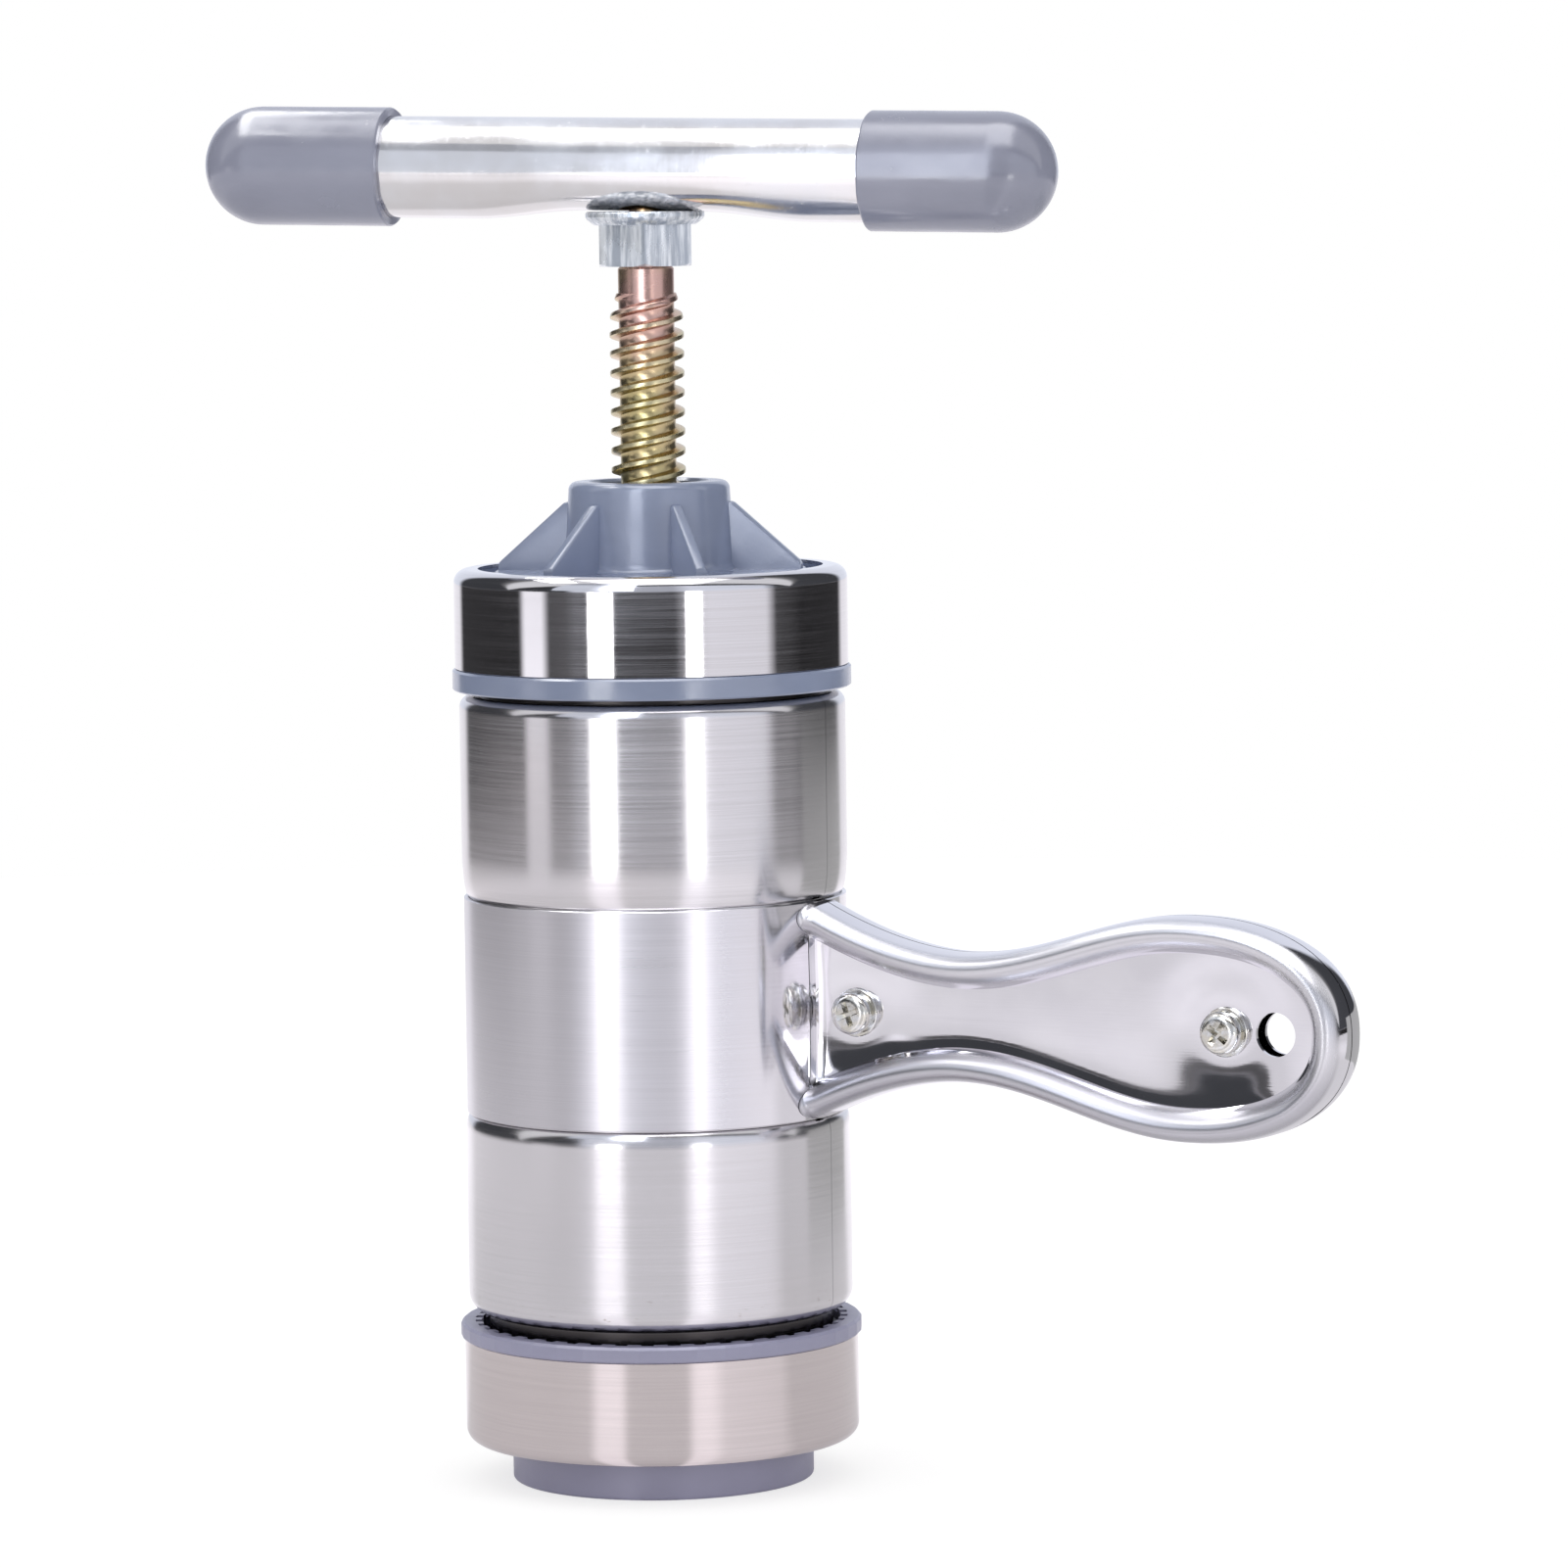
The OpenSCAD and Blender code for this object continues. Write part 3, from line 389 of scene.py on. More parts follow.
def to_band(bm):
    """Lays the first columns of the skin on the band, with a small hollow fillet along the root."""
    for vert in bm.verts:
        if vert.co.x < grip_start + 0.01:
            share = max(0.0, (vert.co.x - grip_start + root_w) / root_w)
            on_band = math.sqrt(band_r_out ** 2 - vert.co.y ** 2) - 0.1
            vert.co.x = on_band + (grip_start - on_band) * (1 - math.cos(share * math.pi / 2))
            if abs(vert.co.y) > root_open:
                vert.co.y -= root_fillet * (1 - math.sin(share * math.pi / 2))


def walled(bm, wall):
    """Gives the skin its wall: a copy laid inside it, joined to it all along the rim and the root."""
    skin = bm.faces[:]
    normals = {vert: vert.normal.copy() for vert in bm.verts}
    inner = bmesh.ops.duplicate(bm, geom=bm.verts[:] + bm.edges[:] + skin)
    twin = {old: new for old, new in inner["vert_map"].items() if old in normals}
    for old, new in twin.items():
        depth = normals[old].copy()
        depth.x = 0 if old.co.x < grip_start + 0.4 else depth.x
        new.co = old.co - depth.normalized() * wall
        new.co.y = min(new.co.y, -0.02)
    inner_faces = [item for item in inner["geom"] if isinstance(item, bmesh.types.BMFace)]
    bmesh.ops.reverse_faces(bm, faces=inner_faces)
    bmesh.ops.bridge_loops(bm, edges=[edge for edge in bm.edges if edge.is_boundary])


def joined(bm, other):
    """Adds another shape to this one."""
    mesh = bpy.data.meshes.new("joining")
    other.to_mesh(mesh)
    other.free()
    bm.from_mesh(mesh)
    bpy.data.meshes.remove(mesh)
    return bm


def cut(bm, tool, operation="DIFFERENCE"):
    """Cuts a shape with a tool, exactly."""
    blank, cutter = object_of(bm, "blank"), object_of(tool, "cutter")
    step = blank.modifiers.new("cut", "BOOLEAN")
    step.solver = "EXACT"
    step.operation = operation
    step.object = cutter
    result = bmesh.new()
    result.from_object(blank, bpy.context.evaluated_depsgraph_get())
    for piece in (blank, cutter):
        mesh = piece.data
        bpy.data.objects.remove(piece)
        bpy.data.meshes.remove(mesh)
    return result


def rotate(bm, degrees, axis="Z", verts=None):
    """Turns a shape, or some of its points, about an axis through the origin."""
    turn = Matrix.Rotation(math.radians(degrees), 3, axis)
    bmesh.ops.rotate(bm, verts=verts or bm.verts, cent=(0, 0, 0), matrix=turn)


def move(bm, way, verts=None):
    """Shifts a shape, or some of its points."""
    bmesh.ops.translate(bm, verts=verts or bm.verts, vec=way)


def swept(outline, start, degrees, steps, climb=0.0):
    """Sweeps a closed outline of (radius, height) part of the way round, climbing at each step."""
    bm = bmesh.new()
    section = bm.faces.new([bm.verts.new((r, 0, z)) for r, z in outline])
    rotate(bm, start)
    bmesh.ops.spin(bm, geom=bm.verts[:] + bm.edges[:] + [section], cent=(0, 0, 0), axis=(0, 0, 1),
                   dvec=(0, 0, climb), angle=math.radians(degrees), steps=steps)
    bmesh.ops.recalc_face_normals(bm, faces=bm.faces)
    return bm


def across_grip(bm, at):
    """Lays a shape that was turned upright across the grip, its foot to the back."""
    rotate(bm, 90, "X")
    move(bm, (at, 0, band_mid_z))
    return bm


grip_steel = Finish("grip_steel", (0.74, 0.735, 0.755), 1.0, 0.12)
wipe = grip_steel.noise((50, 50, 70), 4)
hairs = grip_steel.noise((90, 400, 2600), 4, 0.6)
raised = grip_steel.between(grip_steel.math("ABSOLUTE", grip_steel.axis("Y")), 0.0038, 0.0052, 0.0, 0.28)
grip_steel.rough(grip_steel.math("ADD", grip_steel.between(wipe, 0.35, 0.7, 0.04, 0.08), raised))
panel_grey = grip_steel.mix(grip_steel.between(wipe, 0.3, 0.7), (0.71, 0.7, 0.735), (0.77, 0.76, 0.79))
# Painted shade: the rims are painted darker than the panel, the lower rim darkest, to tone down the
# highlights they take from the light above.
rim_painted_shade = grip_steel.mix(grip_steel.between(grip_steel.axis("Z"), 0.078, 0.088), (0.5, 0.495, 0.525),
                          (0.65, 0.645, 0.67))
on_rim = grip_steel.between(grip_steel.math("ABSOLUTE", grip_steel.axis("Y")), 0.0034, 0.0046)
grip_steel.paint(grip_steel.mix(on_rim, panel_grey, rim_painted_shade))
grip_steel.bump(grip_steel.noise((45, 45, 60), 2), 0.02)
grip_steel.bump(hairs, 0.0015)

near = grip_half()
lower_side(near)
to_band(near)
near.normal_update()
walled(near, grip_sheet)
move(near, (0, 0, band_mid_z))
hang_cutter = across_grip(turned([(0, -9), (hang_r, -9), (hang_r, 9), (0, 9)], 64), hang_at)
near = cut(near, hang_cutter)
far = near.copy()
bmesh.ops.scale(far, vec=(1, -1, 1), verts=far.verts)
bmesh.ops.reverse_faces(far, faces=far.faces)
made(joined(near, far), "grip_sheets", grip_steel, "barrel", "bright_steel", "grip_halves", crease=38)

band_steel = brushed("band_steel", (0.69, 0.675, 0.705), 0.3, 0.015)
worn_bright = band_steel.between(band_steel.axis("X"), 0.026, 0.034, 0.0, 0.2)
band_rough = band_steel.shader.inputs["Roughness"].links[0].from_socket
band_steel.rough(band_steel.math("SUBTRACT", band_rough, worn_bright))
slit_turn = math.degrees(math.asin(slit_half / band_r_out))
band_low_z, band_top_z = band_mid_z - band_half, band_mid_z + band_half
band_ring = swept(((band_r_in, band_low_z), (band_r_out - band_edge, band_low_z),
                   (band_r_out, band_low_z + band_edge), (band_r_out, band_top_z - band_edge),
                   (band_r_out - band_edge, band_top_z), (band_r_in, band_top_z)),
                  slit_turn, 360 - 2 * slit_turn, 188)
made(band_ring, "grip_strip", band_steel, "barrel", "bright_steel", "grip_band")


# Two cross-head screws with split and flat washers clamp the halves of the grip together, each into
# a hexagon nut on the far side. All are bright zinc plated steel.
zinc = Finish("bright_zinc", (0.72, 0.72, 0.7), 1.0, 0.2)
plating = zinc.noise((500, 500, 500), 4)
zinc.rough(zinc.between(plating, 0.35, 0.7, 0.12, 0.3))
zinc.paint(zinc.mix(zinc.between(plating, 0.4, 0.68), (0.64, 0.62, 0.56), (0.78, 0.79, 0.8)))
zinc.bump(zinc.noise((900, 900, 900), 3), 0.02)
head_under_y, head_h, head_r = 3.9, 2.2, 3.9
split_section = ((2.15, 3.0), (3.55, 3.0), (3.7, 3.12), (3.7, 3.75), (3.55, 3.87), (2.15, 3.87))
flat_section = ((2.15, 2.32), (4.35, 2.32), (4.5, 2.45), (4.5, 2.88), (4.35, 3.0), (2.15, 3.0))
back_nut_y, back_nut_h, back_nut_across = 2.3, 3.2, 7.0


def hexagon(across, height, z):
    """A hexagon bar, a corner of it to the right, standing on a height."""
    prism = bmesh.new()
    bmesh.ops.create_cone(prism, cap_ends=True, segments=6, radius1=across / math.sqrt(3),
                          radius2=across / math.sqrt(3), depth=height)
    rotate(prism, 30)
    move(prism, (0, 0, z + height / 2))
    return prism


def chamfered_hexagon(across, height, z, chamfer, bore):
    """A hexagon blank turned off at its corners and bored through."""
    corner_r = across / math.sqrt(3) + 0.01
    blank = turned([(bore, z), (corner_r - chamfer, z), (corner_r, z + chamfer * 0.55),
                    (corner_r, z + height - chamfer * 0.55), (corner_r - chamfer, z + height),
                    (bore, z + height)], 72)
    return cut(hexagon(across, height, z), blank, "INTERSECT")


def cross_wedge(z, turn):
    """One arm of the driver's cross, tapered down into the head."""
    wedge = bmesh.new()
    for vert in bmesh.ops.create_cube(wedge, size=1)["verts"]:
        low = vert.co.z < 0
        long, wide, height = (2.4, 0.6, z - 1.4) if low else (5.6, 1.35, z + 0.6)
        vert.co = (vert.co.x * long, vert.co.y * wide, height)
    rotate(wedge, turn)
    return wedge


screws, split_rings, flat_rings, back_nuts = bmesh.new(), bmesh.new(), bmesh.new(), bmesh.new()
for turn, at in zip((0, 33), grip_screws_at):
    top = head_under_y + head_h
    body = turned([(0, -6.5), (1.6, -6.5), (2.0, -6.1), (2.0, head_under_y), (head_r - 0.25, head_under_y),
                   (head_r, head_under_y + 0.3)]
                  + arc(head_r - 1.5, top - 1.35, 1.5, 1.35, 0, 90, 8)[1:] + [(0, top + 0.02)], 72)
    body = cut(cut(body, cross_wedge(top, 20)), cross_wedge(top, 110))
    rotate(body, turn)
    joined(screws, across_grip(body, at))

    coil = swept(split_section, 86, 348, 56)
    joined(split_rings, across_grip(coil, at))

    joined(flat_rings, across_grip(turned(flat_section, 72), at))
    nut = chamfered_hexagon(back_nut_across, back_nut_h, -back_nut_y - back_nut_h, 0.5, 2.02)
    joined(back_nuts, across_grip(nut, at))
made(screws, "cross_screws", zinc, "barrel", "bright_zinc", "grip_screws")
made(split_rings, "split_washers", zinc, "barrel", "bright_zinc", "grip_spring_washers")
made(flat_rings, "flat_washers", zinc, "barrel", "bright_zinc", "grip_flat_washers")
made(back_nuts, "back_nuts", zinc, "barrel", "bright_zinc", "grip_nuts")


# The die is a moulded cup with small round holes in its face. Its flange is clamped under the
# barrel's rim by the bottom cap.
lilac_plastic = (0.28, 0.275, 0.395)
die_r, cup_r, flange_r, flange_z, die_top = 28.4, 24.9, 33.8, 11.0, 14.5
cup_floor, hole_r, hole_step = 3.5, 1.6, 6.4


def moulded(name, colour, roughness=0.36):
    """Injection-moulded plastic: faint flow marks, a fine skin, and a few pale rubs."""
    finish = Finish(name, colour, 0.0, roughness)
    flow = finish.noise((35, 35, 80), 4)
    light = tuple(min(1, channel * 1.06 + 0.003) for channel in colour)
    dark = tuple(channel * 0.95 for channel in colour)
    skin = finish.mix(finish.between(flow, 0.3, 0.7), dark, light)
    rub = finish.between(finish.noise((190, 190, 420), 6, 0.7, (1, 5, 3)), 0.6, 0.85, 0.0, 0.08)
    pale = tuple(min(1, channel * 1.5 + 0.05) for channel in colour)
    finish.paint(finish.mix(rub, skin, pale))
    patches = finish.noise((120, 120, 120), 5)
    finish.rough(finish.between(patches, 0.3, 0.7, roughness - 0.06, roughness + 0.08))
    finish.bump(finish.noise((1500, 1500, 1500), 3), 0.012)
    finish.bump(flow, 0.012)
    finish.set("IOR", 1.5)
    finish.set("Specular IOR Level", 0.9)
    return finish


die_plastic = moulded("die_plastic", lilac_plastic, 0.4)
die = turned([(0, 0)] + arc(die_r - 0.6, 0.6, 0.6, 0.6, -90, 0, 4) + [(die_r, flange_z)]
             + [(flange_r, flange_z), (flange_r, die_top - 0.3), (flange_r - 0.3, die_top),
                (cup_r + 0.3, die_top), (cup_r, die_top - 0.3), (cup_r, cup_floor + 0.5),
                (cup_r - 0.5, cup_floor), (0, cup_floor)], 160)
drills = bmesh.new()
for ring in (1, 2, 3):
    for i in range(1, 6 * ring + 1):
        turn = math.tau * i / (6 * ring)
        drill = bmesh.ops.create_cone(drills, cap_ends=True, segments=28, radius1=hole_r, radius2=hole_r,
                                      depth=cup_floor + 4)["verts"]
        place = (ring * hole_step * math.cos(turn), ring * hole_step * math.sin(turn), cup_floor / 2)
        move(drills, place, drill)
made(cut(die, drills), "pasta_die", die_plastic, "die", "lilac_plastic", "die")


# The bottom cap is a moulded screw ring with a finely faceted lip and small notches in its edge. A
# drawn steel shell is pressed over it, satin brushed and slightly warm in colour.
cap_r, cap_bore_r, bottom_cap_z = 36.3, 33.9, 8.15
ledge_z, low_flange_z, low_cap_top_z, low_flange_r = 10.95, 27.2, 30.15, 37.8
die_hole_r, cap_round = 28.7, 2.6
low_shell_r, low_shell_hole_r, low_shell_z, low_shell_h = 37.1, 29.3, 7.5, 19.65
facets = 44
notch_r, notch_w = 34.0, 2.4
thread_rise = 3.5
thread_section = ((34.1, -0.7), (32.7, -0.35), (32.7, 0.35), (34.1, 0.7))


def cap_thread(z):
    """The helical ridge in a cap's bore, faded in and out at its ends."""
    steps = 90
    bm = swept([(r, z + h) for r, h in thread_section], 0, 10 * steps, steps, thread_rise / 36)
    low, high = z + 0.6, z + thread_rise * steps / 36 - 0.6
    for vert in bm.verts:
        r = math.hypot(vert.co.x, vert.co.y)
        fade = max(0.05, min(1.0, (vert.co.z - low) / 0.5 + 0.6, (high - vert.co.z) / 0.5 + 0.6))
        if r < 33.5:
            vert.co.x *= (34.0 + (r - 34.0) * fade) / r
            vert.co.y *= (34.0 + (r - 34.0) * fade) / r
    return bm


cap_plastic = moulded("cap_plastic", lilac_plastic, 0.38)
low_cap = turned([(die_hole_r, ledge_z), (die_hole_r, bottom_cap_z)]
                 + arc(cap_r - cap_round, bottom_cap_z + cap_round, cap_round, cap_round, -90, 0, 6)
                 + [(cap_r, low_flange_z), (low_flange_r - 0.3, low_flange_z),
                    (low_flange_r, low_flange_z + 0.3), (low_flange_r, low_cap_top_z - 0.5),
                    (low_flange_r - 0.5, low_cap_top_z), (cap_bore_r, low_cap_top_z),
                    (cap_bore_r, ledge_z)], facets)
notches = bmesh.new()
for i in range(facets):
    notch = bmesh.ops.create_cube(notches, size=1)["verts"]
    bmesh.ops.scale(notches, vec=(2.2, notch_w, 1.8), verts=notch)
    move(notches, (notch_r, notch_w / 2, low_cap_top_z + 0.1), notch)
    rotate(notches, 360 * (i + 1) / facets, verts=notch)
low_cap = cut(low_cap, notches)
joined(low_cap, cap_thread(18.05 + thread_rise / 2))
made(low_cap, "screw_ring", cap_plastic, "bottom_cap", "lilac_plastic", "bottom_cap", crease=4)


def shell_outline(r, hole_r, height, corner):
    """A drawn shell with a round corner and a hole in its face, mouth upwards from nought."""
    return ([(hole_r, 0)] + arc(r - corner, corner, corner, corner, -90, 0, 10)
            + [(r, height - 0.15), (r - 0.15, height), (r - sheet, height)]
            + arc(r - corner, corner, corner - sheet, corner - sheet, 0, -90, 10) + [(hole_r, sheet)])


warm_steel = brushed("warm_brushed_steel", (0.615, 0.56, 0.55), 0.12, 0.016)
low_shell_outline = shell_outline(low_shell_r, low_shell_hole_r, low_shell_h, cap_round)
low_shell = turned([(r, z + low_shell_z) for r, z in low_shell_outline])
made(low_shell, "bottom_shell", warm_steel, "bottom_cap", "warm_brushed_steel", "bottom_cap_shell")


# The press plate is a turned and ribbed aluminium piston. A washer and a socket screw hold it on the
# journal of the press screw, so that the screw turns while the plate only slides.
cast = Finish("turned_aluminium", (0.66, 0.66, 0.67), 1.0, 0.4)
tooling = cast.noise((120, 120, 900), 5)
cast.rough(cast.between(tooling, 0.3, 0.7, 0.32, 0.5))
cast.paint(cast.mix(cast.between(tooling, 0.35, 0.7), (0.58, 0.58, 0.59), (0.7, 0.7, 0.71)))
cast.bump(tooling, 0.02)
dress("press_plate", cast)
dress("plate_washer", zinc)
dress("plate_screw", zinc)


# The top cap is moulded: a ring that screws to the barrel, a disc, and a boss with six ribs that
# holds the metal nut of the screw. A polished steel shell is rolled over its shoulder.
grey_plastic = (0.24, 0.28, 0.4)
disc_z, disc_r, groove_r = 171.3, 29.4, 32.3
top_flange_z, top_flange_h, top_flange_r, top_cap_r, groove_h = 149.25, 4, 37.35, 36.05, 2.2
boss_r, boss_foot_r, boss_top, boss_mouth_r = 15.1, 15.9, 187.9, 10.8
ceiling_z, top_shell_r, top_shell_h = 166.9, 36.85, 18.6
boss_foot_round, boss_top_round, mouth_depth = 1.4, 1.6, 3.4
nut_room_r, liner_room_r, liner_room_h = 12.4, 13.2, 2.4
rib_turn, rib_t, rib_root_r, rib_end_h, rib_drop, rib_round = 20, 2.6, 12.2, 1.4, 3.9, 0.55


def rib(turn):
    """One rib, tapered to its sloping edge and rounded there, from the boss down to the disc's edge."""
    bm = bmesh.new()
    side = bm.faces.new([bm.verts.new((r, -rib_t / 2, z)) for r, z in
                         ((rib_root_r, disc_z - 0.6), (disc_r - 0.6, disc_z - 0.6),
                          (disc_r - 0.6, disc_z + rib_end_h), (boss_r + 0.9, boss_top - rib_drop),
                          (rib_root_r, boss_top - rib_drop))])
    block = bmesh.ops.extrude_face_region(bm, geom=[side])["geom"]
    move(bm, (0, rib_t, 0), [item for item in block if isinstance(item, bmesh.types.BMVert)])
    for vert in bm.verts:
        if vert.co.z > disc_z + 1:
            vert.co.y *= 0.8
    bmesh.ops.recalc_face_normals(bm, faces=bm.faces)
    upper = [edge for edge in bm.edges if all(vert.co.z > disc_z + 1 for vert in edge.verts)]
    bmesh.ops.bevel(bm, geom=upper, offset=rib_round, offset_type="OFFSET", affect="EDGES", segments=4,
                    profile=0.5, material=-1)
    rotate(bm, turn)
    return bm


top_plastic = moulded("boss_plastic", grey_plastic, 0.19)
top_body = turned(
    [(cap_bore_r, top_flange_z), (top_flange_r - 0.35, top_flange_z), (top_flange_r, top_flange_z + 0.3),
     (top_flange_r, top_flange_z + top_flange_h - 0.4), (top_flange_r - 0.4, top_flange_z + top_flange_h),
     (top_cap_r, top_flange_z + top_flange_h)]
    + arc(top_cap_r - cap_round, disc_z - 2.65, cap_round, cap_round, 0, 90, 6)
    + [(groove_r, disc_z - 0.05), (groove_r, disc_z - groove_h), (disc_r, disc_z - groove_h),
       (disc_r, disc_z - 0.4), (disc_r - 0.4, disc_z)]
    + arc(boss_foot_r + boss_foot_round, disc_z + boss_foot_round, boss_foot_round, boss_foot_round,
          270, 180, 6)
    + arc(boss_r - boss_top_round, boss_top - boss_top_round, boss_top_round, boss_top_round, 0, 90, 10)
    + [(boss_mouth_r + 0.5, boss_top), (boss_mouth_r, boss_top - 0.5), (boss_mouth_r, boss_top - mouth_depth),
       (nut_room_r, boss_top - mouth_depth), (nut_room_r, ceiling_z + liner_room_h),
       (liner_room_r, ceiling_z + liner_room_h), (liner_room_r, ceiling_z), (cap_bore_r, ceiling_z)], 160)
for i in range(6):
    joined(top_body, rib(rib_turn + 60 * i))
joined(top_body, cap_thread(153.15 + thread_rise / 2))
made(top_body, "ribbed_cap", top_plastic, "top_cap", "grey_plastic", "top_cap")

shell_steel = brushed("polished_shell", (0.67, 0.66, 0.68), 0.08, 0.02)
top_shell_outline = shell_outline(top_shell_r, groove_r, top_shell_h, cap_round)
top_shell = turned([(r, disc_z + sheet - z) for r, z in top_shell_outline])
made(top_shell, "top_shell", shell_steel, "top_cap", "brushed_steel", "top_cap_shell")

nut_metal = Finish("nut_brass", (0.62, 0.47, 0.22), 1.0, 0.3)
nut_marks = nut_metal.noise((300, 300, 1500), 4)
nut_metal.rough(nut_metal.between(nut_marks, 0.3, 0.7, 0.22, 0.4))
nut_worn = nut_metal.between(nut_marks, 0.35, 0.7)
nut_metal.paint(nut_metal.mix(nut_worn, (0.52, 0.39, 0.18), (0.68, 0.52, 0.26)))
dress("drive_nut", nut_metal)

liner = moulded("liner_plastic", (0.72, 0.72, 0.7), 0.45)
dress("top_cap_liner", liner)


# The press screw is rolled steel with a two-start thread and a plain shank, plated in yellow
# chromate that shimmers from olive and gold to pink. Its studs run up through the flange nut.
lead, thread_pitch = 7.2, 3.6
root_r, crest_r = 5.2, 6.95
thread_low_z, thread_top_z = 66.1, 222.9
ridge_at_z = 2.1
shank_r, stud_r, tip_r, journal_r = 5.25, 4.9, 3.0, 4.0
shank_top_z, tip_top_z, journal_z = 227.85, 245.7, 60.0
nut_z, nut_top_z = 227.9, 238.1
ridge_shape = ((-1.8, 0), (-1.15, 0), (-0.9, 0.06), (-0.6, 0.62), (-0.47, 0.92), (-0.36, 0.99), (0, 1),
               (0.36, 0.99), (0.47, 0.92), (0.6, 0.62), (0.9, 0.06), (1.15, 0))
thread_steps = 64


def threaded_rod():
    """A line of many ridges, turned once about the axis while it climbs by one lead."""
    first = math.floor((thread_low_z - ridge_at_z) / thread_pitch) - 3
    last = math.ceil((thread_top_z - ridge_at_z) / thread_pitch) + 1
    bm = bmesh.new()
    line = [bm.verts.new((root_r + share * (crest_r - root_r), 0, ridge_at_z + n * thread_pitch + h))
            for n in range(first, last + 1) for h, share in ridge_shape]
    edges = [bm.edges.new(pair) for pair in zip(line, line[1:])]
    bmesh.ops.spin(bm, geom=line + edges, cent=(0, 0, 0), axis=(0, 0, 1), dvec=(0, 0, lead / thread_steps),
                   angle=math.tau, steps=thread_steps)
    bmesh.ops.remove_doubles(bm, verts=bm.verts, dist=0.01)
    for vert in bm.verts:
        r = math.hypot(vert.co.x, vert.co.y)
        share = max(0.0, min(1.0, (thread_top_z + 0.6 - vert.co.z) / 5.5))
        kept = root_r + (r - root_r) * share ** 0.7
        vert.co.x *= kept / r
        vert.co.y *= kept / r
    for z, side in ((thread_low_z, -1), (thread_top_z, 1)):
        bmesh.ops.bisect_plane(bm, geom=bm.verts[:] + bm.edges[:] + bm.faces[:], dist=0.0001,
                               plane_co=(0, 0, z), plane_no=(0, 0, side), clear_outer=True)
        open_edges = [edge for edge in bm.edges if edge.is_boundary]
        rim = [edge for edge in open_edges if all(abs(v.co.z - z) < 0.01 for v in edge.verts)]
        bmesh.ops.contextual_create(bm, geom=rim)
    bmesh.ops.recalc_face_normals(bm, faces=bm.faces)
    return bm


screw_zinc = Finish("yellow_chromate", (0.5, 0.42, 0.22), 1.0, 0.24)
sheen = screw_zinc.noise((70, 70, 55), 3, 0.5)
height = screw_zinc.between(screw_zinc.axis("Z"), 0.186, 0.226)
hue_at = screw_zinc.math("ADD", screw_zinc.between(sheen, 0.3, 0.7, 0.12, 0.5),
                         screw_zinc.math("MULTIPLY", height, 0.36))
hue = screw_zinc.ramp(hue_at, ((0.0, (0.33, 0.32, 0.14)), (0.25, (0.48, 0.41, 0.2)), (0.5, (0.6, 0.47, 0.28)),
                               (0.75, (0.62, 0.41, 0.34)), (1.0, (0.58, 0.36, 0.35))))["Color"]
# Painted highlight: the thread's crests are painted paler, as if they caught the light.
crest_painted_highlight = screw_zinc.between(screw_zinc.from_axis(), 0.0062, 0.0069)
screw_zinc.paint(screw_zinc.mix(screw_zinc.math("MULTIPLY", crest_painted_highlight, 0.55), hue, (0.62, 0.58, 0.38)))
screw_zinc.rough(screw_zinc.between(screw_zinc.noise((250, 250, 250), 2), 0.3, 0.7, 0.24, 0.32))
screw_zinc.bump(screw_zinc.noise((900, 900, 900), 2), 0.001)
rod = threaded_rod()
upper_end = turned([(0, thread_top_z - 1), (shank_r - 0.02, thread_top_z - 1), (shank_r, shank_top_z - 0.45),
                    (shank_r - 0.4, shank_top_z), (stud_r, shank_top_z), (stud_r, nut_top_z),
                    (tip_r, nut_top_z), (tip_r, tip_top_z - 0.5), (tip_r - 0.5, tip_top_z),
                    (0, tip_top_z)], 64)
joined(rod, upper_end)
journal = turned([(tip_r, journal_z), (journal_r, journal_z), (journal_r, thread_low_z + 1),
                  (tip_r, thread_low_z + 1)], 48)
joined(rod, journal)
made(rod, "press_screw_rod", screw_zinc, "crank", "yellow_zinc", "press_screw", crease=40)


# A flange nut is run up under the bar, with a faintly serrated flange. A smaller nut inside the tube
# pulls the bar down on it. Both are bright zinc.
nut_across, nut_hex_h, nut_flange_r, nut_flange_t = 17.0, 7.5, 11.1, 2.7
nut_zinc = Finish("nut_zinc", (0.74, 0.77, 0.8), 1.0, 0.2)
draw_marks = nut_zinc.noise((900, 900, 60), 5, 0.65)
mottle = nut_zinc.noise((260, 260, 160), 4)
nut_zinc.rough(nut_zinc.between(mottle, 0.35, 0.7, 0.2, 0.42))
nut_zinc.paint(nut_zinc.mix(nut_zinc.between(draw_marks, 0.38, 0.66), (0.42, 0.46, 0.52), (0.9, 0.93, 0.97)))
nut_zinc.bump(draw_marks, 0.045)
nut_zinc.set("Metallic", 0.5)
corner_r = nut_across / math.sqrt(3) + 0.01
chamfer_blank = turned([(0, nut_z), (corner_r - 1.0, nut_z), (corner_r, nut_z + 0.55),
                        (corner_r, nut_z + nut_hex_h + 1), (0, nut_z + nut_hex_h + 1)], 96)
nut_body = cut(hexagon(nut_across, nut_hex_h + 1, nut_z), chamfer_blank, "INTERSECT")
nut_flange_z = nut_z + nut_hex_h
nut_flange_top = nut_flange_z + nut_flange_t
joined(nut_body, turned([(stud_r + 0.05, nut_flange_z + 0.2), (nut_flange_r - 1.6, nut_flange_z + 0.2),
                         (nut_flange_r - 0.3, nut_flange_z + 1.2), (nut_flange_r, nut_flange_z + 1.7),
                         (nut_flange_r, nut_flange_top - 0.3), (nut_flange_r - 0.3, nut_flange_top),
                         (stud_r + 0.05, nut_flange_top)], 144))
for vert in nut_body.verts:
    if math.hypot(vert.co.x, vert.co.y) > nut_flange_r - 0.4 and vert.co.z > nut_flange_z + 2:
        vert.co.z -= 0.05 * (1 + math.sin(36 * math.atan2(vert.co.y, vert.co.x)))
made(nut_body, "flange_nut_body", nut_zinc, "crank", "bright_zinc", "flange_nut", crease=24)
dress("inner_lock_nut", zinc)


